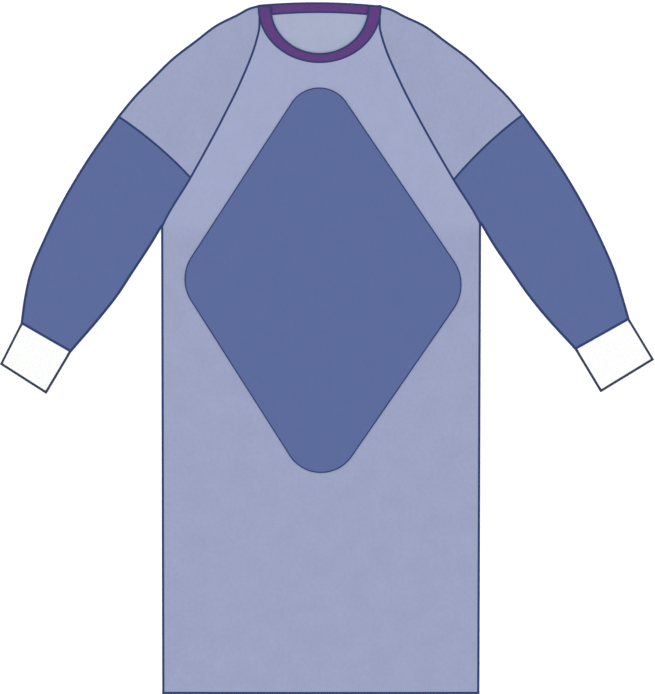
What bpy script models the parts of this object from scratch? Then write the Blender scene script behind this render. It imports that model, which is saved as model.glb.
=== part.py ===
"""A surgical gown laid flat on its back: raglan sleeves, chest panel, knit cuffs, bound neck.

Metres, +Z up. The gown lies on z = 0, its neck towards +Y and its hem towards -Y. "left" and
"right" are as seen from above, so left is -X. The origin is under the middle of the gown's box.
While the pieces are worked out, x is measured from the gown's centre line and y from its hem.
"""
import math
from collections import namedtuple

import bmesh
import bpy
import numpy as np

MM = 0.001

# ------------------------------------------------------------------ driving sizes
LENGTH = 1250 * MM           # hem to the top of the binding at the back of the neck
HEM_HALF = 286.8 * MM        # half the width at the hem
CLOTH = 1.0 * MM             # wall of every cloth panel
PANEL_CLOTH = 0.8 * MM       # wall of the chest panel
KNIT = 1.2 * MM              # wall of the cuffs
TAPE = 1.2 * MM              # folded neck binding
SEAM_GAP = 0.3 * MM          # between neighbours, at seams and between layers

# Heights at which the layers lie.
LAP = 100 * MM               # each back half reaches this far past the centre line
LAP_RISE = TAPE + SEAM_GAP   # the left back half lies this high on the right one
LAP_SLOPE = (-185 * MM, -115 * MM)   # where it climbs, x from the centre line
FRONT_RISE = 2.2 * MM        # the front's extra height along the centre line
NECK_RISE = 0.4 * MM         # and a little more towards the neck
NECK_SLOPE = (1050 * MM, 1200 * MM)  # where that comes in, y from the hem
FOLD_HEIGHT = 3.4 * MM       # sleeve's thickness, fold to fold
SLEEVE_LOFT = 1.0 * MM       # and how much more it has half way across
WRIST_LOFT = 0.4 * MM        # the same at the wrist
CUFF_HEIGHT = 3.8 * MM

# The neck is half an ellipse, with the binding between an inner and an outer one.
NECK_UP = 1240 * MM          # its centre
NECK_ACROSS = -2.2 * MM      # and that is laid a little to the left of the gown's centre line
NECK_OUTER = (111.0 * MM, 99.3 * MM)
NECK_INNER = (87.0 * MM, 82.1 * MM)
CORNER_UP = 1244.6 * MM      # top of the binding at the sides of the neck
RAGLAN_DEG = 12.2            # the raglan seam leaves the outer ellipse this far below its widest

# At the back the binding lies between two shallow arches, highest at across and lower at their ends.
Arch = namedtuple("Arch", "up across dip")
BACK_LOWER = Arch(1232 * MM, NECK_ACROSS, 6.4 * MM)
BACK_UPPER = Arch(LENGTH, -10 * MM, 5.4 * MM)

RIBS = 26                    # raised ribs across the top of a cuff
RIB = 0.5 * MM

# ------------------------------------------------------------------ tables, in millimetres
Point = namedtuple("Point", "out up")    # out from the centre line, up from the hem

# Raglan seam from just below the neck to the underarm. Row REINFORCED_AT is where the lower sleeve
# starts. Here and below, the two sides are not laid quite alike.
RAGLAN = {
    "left": (
        Point(111.2, 1202.5),
        Point(115.9, 1182),
        Point(143.1, 1110),
        Point(175.9, 1042.7),
        Point(218.0, 964),
        Point(235.4, 932.9),
        Point(281.3, 856.3),
        Point(288.9, 840.3),
    ),
    "right": (
        Point(106.7, 1202.5),
        Point(112.2, 1181),
        Point(141.8, 1109),
        Point(175.6, 1042.5),
        Point(219.1, 964.8),
        Point(240.0, 929.1),
        Point(281.5, 862.5),
        Point(289.9, 846.5),
    ),
}
RAGLAN_STEPS = (1, 1, 2, 2, 2, 1, 3, 1)        # neck to the first row, then between the rows
REINFORCED_AT = 6

# Fold along the top of the arm, from the neck to the lower sleeve.
SHOULDER = {
    "left": (
        Point(113.5, 1244.8),
        Point(130.4, 1239.9),
        Point(149.5, 1229.7),
        Point(191.7, 1208.1),
        Point(223.8, 1183.6),
        Point(271.1, 1146.9),
        Point(308.4, 1109.9),
        Point(334.6, 1083.6),
        Point(367.0, 1044.6),
    ),
    "right": (
        Point(109.1, 1243.8),
        Point(128.0, 1238.3),
        Point(149.0, 1227.4),
        Point(191.0, 1207),
        Point(223.3, 1182.8),
        Point(271.1, 1146.9),
        Point(308.7, 1110.2),
        Point(332.9, 1086.9),
        Point(366.4, 1047.9),
    ),
}

# The same fold from there to the wrist.
FOREARM = {
    "left": (
        Point(367.0, 1044.6),
        Point(422.9, 965.3),
        Point(466.4, 892.6),
        Point(501.9, 820.3),
        Point(526.1, 762),
        Point(536.5, 715),
        Point(542.7, 669.4),
    ),
    "right": (
        Point(366.4, 1047.9),
        Point(426.3, 965.8),
        Point(470.8, 892.9),
        Point(507.8, 820.9),
        Point(533.0, 762.1),
        Point(547.4, 715),
        Point(558.3, 677),
    ),
}

# The lower edge of the sleeve, from the underarm to the wrist.
UNDERARM = {
    "left": (
        Point(288.9, 840.3),
        Point(301.8, 818.2),
        Point(340.2, 759.1),
        Point(369.1, 715.3),
        Point(388.6, 690.4),
        Point(451.4, 616.8),
    ),
    "right": (
        Point(289.9, 846.5),
        Point(306.1, 818.4),
        Point(345.9, 759.7),
        Point(370.2, 724.4),
        Point(397.0, 690.5),
        Point(459.3, 621.4),
    ),
}
REINFORCED_BULGE = 5.0 * MM  # the seam across the sleeve arches this much towards the neck

# Open end of the cuff: its corner on the fold side, then on the underarm side.
CUFF_END = {
    "left": (Point(579.9, 595.8), Point(495.8, 542.1)),
    "right": (Point(602.3, 604.1), Point(505.3, 545.0)),
}

# The chest panel's corners before they are rounded; across is + to the right of the centre line.
Corner = namedtuple("Corner", "across up radius steps")
PANEL = (
    Corner(-4.1, 1144.2, 60, 6),
    Corner(-260.4, 750, 74, 3),
    Corner(-2.0, 344.4, 68, 6),
    Corner(270.7, 739, 77, 3),
)
PANEL_SIDE_STEPS = 8

# ------------------------------------------------------------------ mesh fineness
SIDE_STEPS = 4               # hem to underarm
NECK_STEPS = 28              # front neckline, and so across the front
NECK_SIDE_STEPS = 5          # neckline that the sleeve meets
BACK_STEPS = 20              # across a back half
SLEEVE_STEPS = 7             # across one layer of a sleeve
FOREARM_STEPS = 9            # underarm to wrist
FOLD_STEPS = 4               # round a fold
CUFF_STEPS = 3               # along a cuff
BAND_STEPS = 3               # across the binding
TRACE_STEPS = 12             # between a table's rows, before the curve is spread out evenly

# ------------------------------------------------------------------ colours
LIGHT = ("nonwoven_light", (0.34, 0.37, 0.55, 1.0), 0.75)
DARK = ("nonwoven_reinforced", (0.105, 0.145, 0.34, 1.0), 0.6)
WHITE = ("knit_white", (0.9, 0.9, 0.9, 1.0), 0.9)
PURPLE = ("binding_purple", (0.1, 0.05, 0.21, 1.0), 0.65)

SIDES = {"left": -1, "right": 1}
MIDDLE = (CUFF_END["right"][0].out - CUFF_END["left"][0].out) / 2 * MM
HOME = (-MIDDLE, -LENGTH / 2, 0)


# ------------------------------------------------------------------ lines and grids in plan
def metres(rows):
    """A table's rows as an array of points in metres."""
    return np.array(rows, dtype=float) * MM


def run(points):
    """Distance walked along a line, at each of its points."""
    steps = np.linalg.norm(np.diff(points, axis=0), axis=1)
    return np.concatenate([[0.0], np.cumsum(steps)])


def trace(knots, steps):
    """A smooth curve through the knots: cubic stretches, each cut into its number of steps."""
    at = run(knots)
    slopes = np.gradient(knots, at, axis=0)
    stretches = [np.linspace(at[k], at[k + 1], n, endpoint=False) for k, n in enumerate(steps)]
    stops = np.concatenate(stretches + [at[-1:]])
    k = np.clip(np.searchsorted(at, stops, side="right") - 1, 0, len(at) - 2)
    span = (at[k + 1] - at[k])[:, None]
    t = (stops - at[k])[:, None] / span
    start = (2 * t**3 - 3 * t**2 + 1) * knots[k] + (t**3 - 2 * t**2 + t) * span * slopes[k]
    end = (3 * t**2 - 2 * t**3) * knots[k + 1] + (t**3 - t**2) * span * slopes[k + 1]
    return start + end


def traced(rows):
    """The smooth curve through a table's rows, finely cut."""
    return trace(metres(rows), (TRACE_STEPS,) * (len(rows) - 1))


def spread(points, shares):
    """Points at the given shares, 0 to 1, of the way along a line."""
    at = run(points)
    return np.column_stack([np.interp(shares, at / at[-1], column) for column in points.T])


def shares_of(points):
    """How far along its line each point is, as a share of the whole."""
    at = run(points)
    return at / at[-1]


def straight(start, end, steps):
    """Evenly spaced points from start to end."""
    t = np.linspace(0, 1, steps + 1)[:, None]
    return np.asarray(start) * (1 - t) + np.asarray(end) * t


def smooth(t):
    """0 to 1 with level ends: 3t^2 - 2t^3, held at 0 and 1 outside."""
    t = np.clip(t, 0, 1)
    return t * t * (3 - 2 * t)


def patch(first_row, last_row, first_col, last_col):
    """A grid between four edges: blended along the rows, plus along the columns, less the corners."""
    s = ((shares_of(first_row) + shares_of(last_row)) / 2)[None, :, None]
    t = ((shares_of(first_col) + shares_of(last_col)) / 2)[:, None, None]
    across = (1 - t) * first_row[None] + t * last_row[None]
    along = (1 - s) * first_col[:, None] + s * last_col[:, None]
    corners = ((1 - t) * ((1 - s) * first_row[0] + s * first_row[-1])
               + t * ((1 - s) * last_row[0] + s * last_row[-1]))
    return across + along - corners


def mirrored(points, sign):
    """The same points with x turned to the left (-1) or right (+1) side."""
    return points * np.array([sign] + [1] * (points.shape[-1] - 1))


# ------------------------------------------------------------------ heights
def front_floor(x, y):
    """Underside of the front: lowest at the side seams, highest along the centre line and neck."""
    across = np.cos(np.pi / 2 * np.clip(x / HEM_HALF, -1, 1)) ** 2
    near_neck = smooth((y - NECK_SLOPE[0]) / (NECK_SLOPE[1] - NECK_SLOPE[0]))
    return CLOTH + SEAM_GAP + FRONT_RISE * across + NECK_RISE * near_neck


def back_floor(x, side):
    """Underside of a back half: the right one is flat, the left one climbs onto it."""
    if side == "right":
        return np.zeros_like(x)
    return LAP_RISE * smooth((x - LAP_SLOPE[0]) / (LAP_SLOPE[1] - LAP_SLOPE[0]))


def stand(plan, height):
    """Plan points with a height added."""
    return np.concatenate([plan, np.broadcast_to(height[..., None], plan.shape[:-1] + (1,))], axis=-1)


# ------------------------------------------------------------------ shared lines
def neck_line(radii, degrees, sign=1):
    """Points on a neck ellipse, degrees below its widest point. sign is -1 for x out to the left."""
    angle = np.radians(degrees)
    return np.column_stack([radii[0] * np.cos(angle) + sign * NECK_ACROSS, NECK_UP - radii[1] * np.sin(angle)])


def raglan_line(side):
    """Raglan seam of the front, from the neck to the underarm."""
    start = neck_line(NECK_OUTER, [RAGLAN_DEG], SIDES[side])
    return trace(np.vstack([start, metres(RAGLAN[side])]), RAGLAN_STEPS)


def back_neckline(side, arch=BACK_LOWER):
    """An edge of the binding at the back of the neck, from the lapped edge out to the corner."""
    out = np.linspace(-LAP, NECK_OUTER[0] + SIDES[side] * NECK_ACROSS, BACK_STEPS + 1)
    return np.column_stack([out, arch.up - arch.dip * ((SIDES[side] * out - arch.across) / NECK_OUTER[0]) ** 2])


def back_raglan_line(side):
    """The same seam on the back, which starts at the corner of the back neckline."""
    start = back_neckline(side)[-1:]
    return trace(np.vstack([start, metres(RAGLAN[side])]), RAGLAN_STEPS)


REINFORCED = sum(RAGLAN_STEPS[:REINFORCED_AT])    # the raglan point where the lower sleeve starts


def panel_side(seam):
    """Outer edge of a body panel: hem to underarm, then up the raglan seam."""
    side_seam = straight((HEM_HALF, 0), seam[-1], SIDE_STEPS)
    return np.vstack([side_seam, seam[-2::-1]])


def cross_seam(start, end, steps):
    """Seam across the sleeve from the raglan seam out to the fold, arched towards the neck."""
    line = straight(start, end, steps)
    t = np.linspace(0, 1, steps + 1)[:, None]
    direction = np.asarray(end) - np.asarray(start)
    square = np.array([-direction[1], direction[0]]) / np.linalg.norm(direction)
    towards_neck = square if square[1] > 0 else -square
    return line + towards_neck * REINFORCED_BULGE * 4 * t * (1 - t)


# ------------------------------------------------------------------ solids
def pull_in(grid, *edges):
    """Draw the named edges of a grid in by half the seam gap, square to the edge."""
    turned = grid.swapaxes(0, 1)
    views = {"first_row": grid, "last_row": grid[::-1], "first_col": turned, "last_col": turned[::-1]}
    for edge in edges:
        view = views[edge]
        along = np.gradient(view[0], axis=0)
        inward = view[1] - view[0]
        overlap = np.sum(inward * along, axis=1) / np.sum(along * along, axis=1)
        inward = inward - along * overlap[:, None]
        view[0] += SEAM_GAP / 2 * inward / np.linalg.norm(inward, axis=1)[:, None]
    return grid


def wall(name, outer, inner, material, closed=False, cells=None):
    """A closed solid from two grids of points: both sheets, and the rim round every open edge.

    closed joins the last column to the first. cells picks the grid cells that exist.
    """
    rows, cols = outer.shape[:2]
    count = rows * cols
    index = np.arange(count).reshape(rows, cols)
    if closed:
        index = np.hstack([index, index[:, :1]])
    quads = np.stack([index[:-1, :-1], index[:-1, 1:], index[1:, 1:], index[1:, :-1]], axis=-1)
    quads = quads[cells] if cells is not None else quads.reshape(-1, 4)
    edges = [(quad[k - 1], quad[k]) for quad in quads.tolist() for k in range(4)]
    known = set(edges)
    rim = [(b, a, a + count, b + count) for a, b in edges if (b, a) not in known]
    faces = quads.tolist() + (quads[:, ::-1] + count).tolist() + rim

    mesh = bpy.data.meshes.new(name)
    points = np.vstack([outer.reshape(-1, 3), inner.reshape(-1, 3)])
    mesh.from_pydata(points.tolist(), [], faces)
    bm = bmesh.new()
    bm.from_mesh(mesh)
    bmesh.ops.delete(bm, geom=[v for v in bm.verts if not v.link_faces], context="VERTS")
    bmesh.ops.recalc_face_normals(bm, faces=bm.faces)
    bm.to_mesh(mesh)
    bm.free()
    mesh.shade_smooth()
    mesh.set_sharp_from_angle(angle=math.radians(40))
    mesh.materials.append(material)
    piece = bpy.data.objects.new(name, mesh)
    piece.location = HOME
    GOWN.objects.link(piece)
    return piece


def sheet(name, plan, floor, thickness, material, *seams):
    """A panel: a grid in plan, its underside at the given height, its seam edges drawn in."""
    plan = pull_in(plan, *seams)
    under = floor(plan[..., 0], plan[..., 1])
    return wall(name, stand(plan, under + thickness), stand(plan, under), material)


def fold(turn, outward, height, radius):
    """Points round a fold, from the upper layer down to the lower one, for each row.

    turn is where the fold's centre lies in plan and outward the way that it faces.
    """
    angle = np.linspace(np.pi / 2, -np.pi / 2, FOLD_STEPS + 1)[None, 1:-1, None]
    plan = turn[:, None] + outward[:, None] * radius[:, None, None] * np.cos(angle)
    rise = height[:, None] / 2 + radius[:, None] * np.sin(angle[..., 0])
    return stand(plan, rise)


def unit(vectors):
    return vectors / np.linalg.norm(vectors, axis=1)[:, None]


# ------------------------------------------------------------------ the pieces
def make_front(material):
    left, right = (mirrored(panel_side(raglan_line(side)), sign) for side, sign in SIDES.items())
    degrees = np.linspace(180 - RAGLAN_DEG, RAGLAN_DEG, NECK_STEPS + 1)
    plan = patch(straight(left[0], right[0], NECK_STEPS), neck_line(NECK_OUTER, degrees), left, right)
    sheet("front", plan, front_floor, CLOTH, material, "last_row", "first_col", "last_col")


def make_back(side, material):
    sign = SIDES[side]
    outer_edge = panel_side(back_raglan_line(side))
    neckline = back_neckline(side)
    lapped = straight((-LAP, 0), neckline[0], len(outer_edge) - 1)
    hem = straight(lapped[0], outer_edge[0], BACK_STEPS)
    plan = mirrored(patch(hem, neckline, lapped, outer_edge), sign)
    sheet("back_" + side, plan, lambda x, y: back_floor(x, side), CLOTH, material, "last_row", "last_col")


def rounded_corner(before, corner, after, radius, steps):
    """An arc that rounds a corner, from the side that comes in to the side that leaves."""
    sides = unit(np.array([before - corner, after - corner]))
    half = math.acos(np.dot(*sides)) / 2
    centre = corner + unit(sides.sum(axis=0)[None])[0] * radius / math.sin(half)
    ends = corner + sides * radius / math.tan(half) - centre
    start, end = np.unwrap(np.arctan2(ends[:, 1], ends[:, 0]))
    angle = np.linspace(start, end, 2 * steps + 1)
    return centre + radius * np.column_stack([np.cos(angle), np.sin(angle)])


def rounded(corners):
    """An outline as one line for each corner, from the middle of its arc to the middle of the next."""
    at = [np.array([c.across, c.up]) * MM for c in corners]
    following = [*range(1, len(corners)), 0]
    arcs = [rounded_corner(at[k - 1], at[k], at[after], corners[k].radius * MM, corners[k].steps)
            for k, after in enumerate(following)]
    lines = []
    for k, after in enumerate(following):
        leaving = arcs[k][corners[k].steps:]
        side = straight(arcs[k][-1], arcs[after][0], PANEL_SIDE_STEPS)[1:-1]
        arriving = arcs[after][:corners[after].steps + 1]
        lines.append(np.vstack([leaving, side, arriving]))
    return lines


def make_chest_panel(material):
    top_left, bottom_left, bottom_right, top_right = rounded(PANEL)
    plan = patch(top_left, bottom_right[::-1], top_right[::-1], bottom_left)
    sheet("chest_panel", plan, lambda x, y: front_floor(x, y) + CLOTH + SEAM_GAP, PANEL_CLOTH, material)


def make_neck_binding_front(material):
    side = np.linspace(0, RAGLAN_DEG, NECK_SIDE_STEPS + 1)
    degrees = np.concatenate([180 - side, np.linspace(180 - RAGLAN_DEG, RAGLAN_DEG, NECK_STEPS + 1)[1:-1],
                              side[::-1]])
    edges = []
    for radii in (NECK_OUTER, NECK_INNER):
        line = neck_line(radii, degrees)
        tops = np.array([[NECK_ACROSS - radii[0], CORNER_UP], [NECK_ACROSS + radii[0], CORNER_UP]])
        edges.append(np.vstack([tops[:1], line, tops[1:]]))
    outer, inner = edges
    t = np.linspace(0, 1, BAND_STEPS + 1)[:, None, None]
    plan = pull_in((1 - t) * outer[None] + t * inner[None], "first_row")
    sheet("neck_binding_front", plan, lambda x, y: front_floor(x, y) - (TAPE - CLOTH) / 2, TAPE, material)


def make_neck_binding_back(side, material):
    lower = back_neckline(side)
    upper = back_neckline(side, BACK_UPPER)
    t = np.linspace(0, 1, BAND_STEPS)[:, None, None]
    plan = mirrored((1 - t) * lower[None] + t * upper[None], SIDES[side])
    sheet("neck_binding_back_" + side, plan, lambda x, y: back_floor(x, side), TAPE, material,
          "first_row", "last_col")


def layer_height(start, end, share, loft):
    """Height across a sleeve's upper layer: from one edge's to the other's, fuller in between."""
    rise = smooth(share)
    return start[:, None] * (1 - rise) + end[:, None] * rise + loft[:, None] * np.sin(np.pi * share) ** 2


def make_sleeve_upper(side, material):
    sign = SIDES[side]
    front_seam = raglan_line(side)[:REINFORCED + 1]
    back_seam = back_raglan_line(side)[:REINFORCED + 1]
    shoulder = spread(traced(SHOULDER[side]), shares_of(front_seam))
    outward = unit(shoulder - front_seam)
    radius = np.full(len(shoulder), FOLD_HEIGHT / 2)
    turn = shoulder - outward * radius[:, None]

    neck = np.vstack([neck_line(NECK_OUTER, np.linspace(RAGLAN_DEG, 0, TRACE_STEPS), sign), turn[:1]])
    neck = spread(neck, np.linspace(0, 1, SLEEVE_STEPS + 1))
    across = cross_seam(front_seam[-1], turn[-1], SLEEVE_STEPS)
    upper = patch(neck, across, front_seam, turn)
    lower = patch(straight(back_seam[0], turn[0], SLEEVE_STEPS), across, back_seam, turn)

    share = np.linspace(0, 1, SLEEVE_STEPS + 1)[None]
    seam_top = front_floor(front_seam[:, 0], front_seam[:, 1]) + CLOTH
    loft = SLEEVE_LOFT * smooth(shares_of(front_seam) * 2)
    top = layer_height(seam_top, radius * 2, share, loft)
    under = back_floor(sign * back_seam[:, 0], side)[:, None] * (1 - smooth(share))

    outer = np.concatenate([stand(upper, top), fold(turn, outward, radius * 2, radius),
                            stand(lower, under)[:, ::-1]], axis=1)
    inner = np.concatenate([stand(upper, top - CLOTH), fold(turn, outward, radius * 2, radius - CLOTH),
                            stand(lower, under + CLOTH)[:, ::-1]], axis=1)
    for grid in (outer, inner):
        pull_in(grid, "first_row", "last_row", "first_col", "last_col")
    wall("sleeve_upper_" + side, mirrored(outer, sign), mirrored(inner, sign), material)


def tube(name, upper, share, heights, loft, wall_size, material, sign, cells=None, ribs=None):
    """A flattened tube: a layer in plan from the underarm edge to the fold, and one beneath it.

    heights holds the tube's thickness at the underarm edge and at the fold, for each row.
    """
    near, far = heights
    outward = unit(upper[:, -1] - upper[:, 0])
    top = layer_height(near, far, share, loft)
    raised = top if ribs is None else top + ribs
    under = np.zeros_like(top)
    grids = []
    for depth, height in ((0.0, raised), (wall_size, top - wall_size)):
        grids.append(np.concatenate([
            stand(upper, height),
            fold(upper[:, -1], outward, far, far / 2 - depth),
            stand(upper, under + depth)[:, ::-1],
            fold(upper[:, 0], -outward, near, near / 2 - depth)[:, ::-1],
        ], axis=1))
    outer, inner = grids
    for grid in grids:
        pull_in(grid, "first_row", "last_row")
    wall(name, mirrored(outer, sign), mirrored(inner, sign), material, closed=True, cells=cells)


def wrist_points(side):
    """The two ends of the seam between sleeve and cuff: at the fold, and at the underarm edge."""
    return metres(FOREARM[side])[-1], metres(UNDERARM[side])[-1]


def make_sleeve_lower(side, material):
    sign = SIDES[side]
    seam = raglan_line(side)[REINFORCED:]
    sewn = len(seam) - 1
    below = spread(traced(UNDERARM[side]), np.linspace(0, 1, FOREARM_STEPS + 1))
    edge = np.vstack([seam, below[1:]])
    arm = spread(traced(FOREARM[side]), shares_of(edge))
    outward = unit(arm - edge)

    sewn_top = front_floor(seam[:, 0], seam[:, 1]) + CLOTH
    ease = smooth(np.arange(1, FOREARM_STEPS + 1) / (FOREARM_STEPS / 2))
    near = np.concatenate([sewn_top, sewn_top[-1] + (FOLD_HEIGHT - sewn_top[-1]) * ease])
    far = np.full(len(edge), FOLD_HEIGHT)
    is_fold = np.arange(len(edge)) >= sewn
    start = edge + outward * (np.where(is_fold, near / 2, 0) + SEAM_GAP / 2)[:, None]
    turn = arm - outward * far[:, None] / 2

    first = cross_seam(start[0], turn[0], SLEEVE_STEPS)
    last = straight(start[-1], turn[-1], SLEEVE_STEPS)
    upper = patch(first, last, start, turn)
    share = np.linspace(0, 1, SLEEVE_STEPS + 1)[None]
    loft = SLEEVE_LOFT + (WRIST_LOFT - SLEEVE_LOFT) * smooth(shares_of(edge) * 2 - 1)

    rows, cols = len(edge) - 1, 2 * (SLEEVE_STEPS + 1) + 2 * (FOLD_STEPS - 1)
    cells = np.ones((rows, cols), dtype=bool)
    cells[:sewn, cols - FOLD_STEPS:] = False
    tube("sleeve_lower_" + side, upper, share, (near, far), loft, CLOTH, material, sign, cells)


def make_cuff(side, material):
    sign = SIDES[side]
    arm, edge = (straight(start, end, CUFF_STEPS) for start, end
                 in zip(wrist_points(side), metres(CUFF_END[side])))
    outward = unit(arm - edge)
    height = np.full(CUFF_STEPS + 1, CUFF_HEIGHT)
    start = edge + outward * CUFF_HEIGHT / 2
    turn = arm - outward * CUFF_HEIGHT / 2
    share = np.linspace(0, 1, 2 * RIBS + 1)[None]
    upper = (1 - share[..., None]) * start[:, None] + share[..., None] * turn[:, None]
    ribs = np.zeros(2 * RIBS + 1)
    ribs[1::2] = RIB
    tube("cuff_" + side, upper, share, (height, height), np.zeros(CUFF_STEPS + 1), KNIT, material, sign,
         ribs=ribs[None])


# ------------------------------------------------------------------ scene
def make_material(name, colour, roughness):
    material = bpy.data.materials.new(name)
    material.use_nodes = True
    shader = material.node_tree.nodes["Principled BSDF"]
    shader.inputs["Base Color"].default_value = colour
    shader.inputs["Roughness"].default_value = roughness
    shader.inputs["Metallic"].default_value = 0.0
    material.diffuse_color = colour
    return material


for leftover in list(bpy.data.objects):
    bpy.data.objects.remove(leftover, do_unlink=True)
GOWN = bpy.data.collections.new("surgical_gown")
bpy.context.scene.collection.children.link(GOWN)

light = make_material(*LIGHT)
dark = make_material(*DARK)
white = make_material(*WHITE)
purple = make_material(*PURPLE)

make_front(light)
make_chest_panel(dark)
make_neck_binding_front(purple)
for side in SIDES:
    make_back(side, light)
    make_neck_binding_back(side, purple)
    make_sleeve_upper(side, light)
    make_sleeve_lower(side, dark)
    make_cuff(side, white)
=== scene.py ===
# %% [markdown]
# # A surgical gown laid flat
#
# This lesson dresses a imported CAD model of a surgical gown. The gown lies on its back, arms out, as a
# tailor would lay it on a table to look at its cut. The CAD solids give every panel its place. They are
# plain walls about one millimetre thick, so here each one is replaced by a thinner sheet of cloth in the
# same place, and the sewing is added: overlocked seams, a bound neck and rib-knit cuffs.
#
# First comes the fixed frame. Nothing in it is moved or resized.

# %% Load the frame
import math
from collections import namedtuple

import bpy
import numpy as np
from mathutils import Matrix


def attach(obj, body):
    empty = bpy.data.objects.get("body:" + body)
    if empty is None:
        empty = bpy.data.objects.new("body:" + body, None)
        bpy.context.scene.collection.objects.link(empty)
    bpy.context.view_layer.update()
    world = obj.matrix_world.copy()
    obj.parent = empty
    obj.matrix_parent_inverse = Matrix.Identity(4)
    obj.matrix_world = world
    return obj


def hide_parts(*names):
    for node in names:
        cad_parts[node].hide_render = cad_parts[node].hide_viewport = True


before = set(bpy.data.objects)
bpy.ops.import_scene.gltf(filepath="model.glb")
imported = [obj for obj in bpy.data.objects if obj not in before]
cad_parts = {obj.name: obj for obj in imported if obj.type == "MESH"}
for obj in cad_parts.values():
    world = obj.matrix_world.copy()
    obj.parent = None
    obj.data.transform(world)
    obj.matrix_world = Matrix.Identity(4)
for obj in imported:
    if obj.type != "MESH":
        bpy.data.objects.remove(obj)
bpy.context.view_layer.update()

print("solids in the frame:", ", ".join(sorted(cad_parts)))

# %% [markdown]
# ## Sizes
#
# A pattern cutter keeps one table of sizes for all pieces, so that edges which are sewn together have the
# same length. This is that table. x is measured from the gown's centre line and y from its hem. Each
# piece is moved to the frame's origin, under the middle of the gown's box, when its mesh is made.
#
# The walls of the solids are thicker than real cloth, so each sheet here takes the middle of its wall and
# leaves a skin of 0.2 mm on either side. The overlock thread at the edges fills that skin.

# %% Driving sizes
MM = 0.001

LENGTH = 1250 * MM           # hem to the top of the binding at the back of the neck
HEM_HALF = 286.8 * MM        # half the width at the hem
CLOTH = 1.0 * MM             # room that each panel has
PANEL_CLOTH = 0.8 * MM       # room of the chest panel
KNIT = 1.2 * MM              # room of a cuff's wall
TAPE = 1.2 * MM              # room of the neck binding
SKIN = 0.2 * MM              # what is left free on each side of a sheet, for the thread
SEAM_GAP = 0.3 * MM          # between neighbours

LAP = 100 * MM               # each back half reaches this far past the centre line
LAP_RISE = TAPE + SEAM_GAP   # the left back half lies this high on the right one
LAP_SLOPE = (-185 * MM, -115 * MM)
FRONT_RISE = 2.2 * MM        # the front's extra height along the centre line
NECK_RISE = 0.4 * MM
NECK_SLOPE = (1050 * MM, 1200 * MM)
FOLD_HEIGHT = 3.4 * MM       # sleeve's thickness, fold to fold
SLEEVE_LOFT = 1.0 * MM       # how much more it has half way across
WRIST_LOFT = 0.4 * MM
CUFF_HEIGHT = 3.8 * MM

NECK_UP = 1240 * MM          # centre of the neck's half ellipses
NECK_ACROSS = -2.2 * MM      # and that is laid a little to the left of the gown's centre line
NECK_OUTER = (111.0 * MM, 99.3 * MM)
NECK_INNER = (87.0 * MM, 82.1 * MM)
CORNER_UP = 1244.6 * MM
RAGLAN_DEG = 12.2

# At the back the binding lies between two shallow arches, highest at across and lower at their ends.
Arch = namedtuple("Arch", "up across dip")
BACK_LOWER = Arch(1232 * MM, NECK_ACROSS, 6.4 * MM)
BACK_UPPER = Arch(LENGTH, -10 * MM, 5.4 * MM)

RIBS = 26                    # ribs across each layer of a cuff
RIB = 0.5 * MM

SIDES = {"left": -1, "right": 1}

# %% Cutting tables, in millimetres: out from the centre line, up from the hem
Point = namedtuple("Point", "out up")

RAGLAN = {
    "left": (
        Point(111.2, 1202.5), Point(115.9, 1182), Point(143.1, 1110), Point(175.9, 1042.7),
        Point(218.0, 964), Point(235.4, 932.9), Point(281.3, 856.3), Point(288.9, 840.3),
    ),
    "right": (
        Point(106.7, 1202.5), Point(112.2, 1181), Point(141.8, 1109), Point(175.6, 1042.5),
        Point(219.1, 964.8), Point(240.0, 929.1), Point(281.5, 862.5), Point(289.9, 846.5),
    ),
}
RAGLAN_STEPS = (1, 1, 2, 2, 2, 1, 3, 1)
REINFORCED_AT = 6            # the row of the raglan seam where the lower sleeve starts

SHOULDER = {
    "left": (
        Point(113.5, 1244.8), Point(130.4, 1239.9), Point(149.5, 1229.7), Point(191.7, 1208.1),
        Point(223.8, 1183.6), Point(271.1, 1146.9), Point(308.4, 1109.9), Point(334.6, 1083.6),
        Point(367.0, 1044.6),
    ),
    "right": (
        Point(109.1, 1243.8), Point(128.0, 1238.3), Point(149.0, 1227.4), Point(191.0, 1207),
        Point(223.3, 1182.8), Point(271.1, 1146.9), Point(308.7, 1110.2), Point(332.9, 1086.9),
        Point(366.4, 1047.9),
    ),
}
FOREARM = {
    "left": (
        Point(367.0, 1044.6), Point(422.9, 965.3), Point(466.4, 892.6), Point(501.9, 820.3),
        Point(526.1, 762), Point(536.5, 715), Point(542.7, 669.4),
    ),
    "right": (
        Point(366.4, 1047.9), Point(426.3, 965.8), Point(470.8, 892.9), Point(507.8, 820.9),
        Point(533.0, 762.1), Point(547.4, 715), Point(558.3, 677),
    ),
}
UNDERARM = {
    "left": (
        Point(288.9, 840.3), Point(301.8, 818.2), Point(340.2, 759.1), Point(369.1, 715.3),
        Point(388.6, 690.4), Point(451.4, 616.8),
    ),
    "right": (
        Point(289.9, 846.5), Point(306.1, 818.4), Point(345.9, 759.7), Point(370.2, 724.4),
        Point(397.0, 690.5), Point(459.3, 621.4),
    ),
}
REINFORCED_BULGE = 5.0 * MM
CUFF_END = {
    "left": (Point(579.9, 595.8), Point(495.8, 542.1)),
    "right": (Point(602.3, 604.1), Point(505.3, 545.0)),
}

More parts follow.
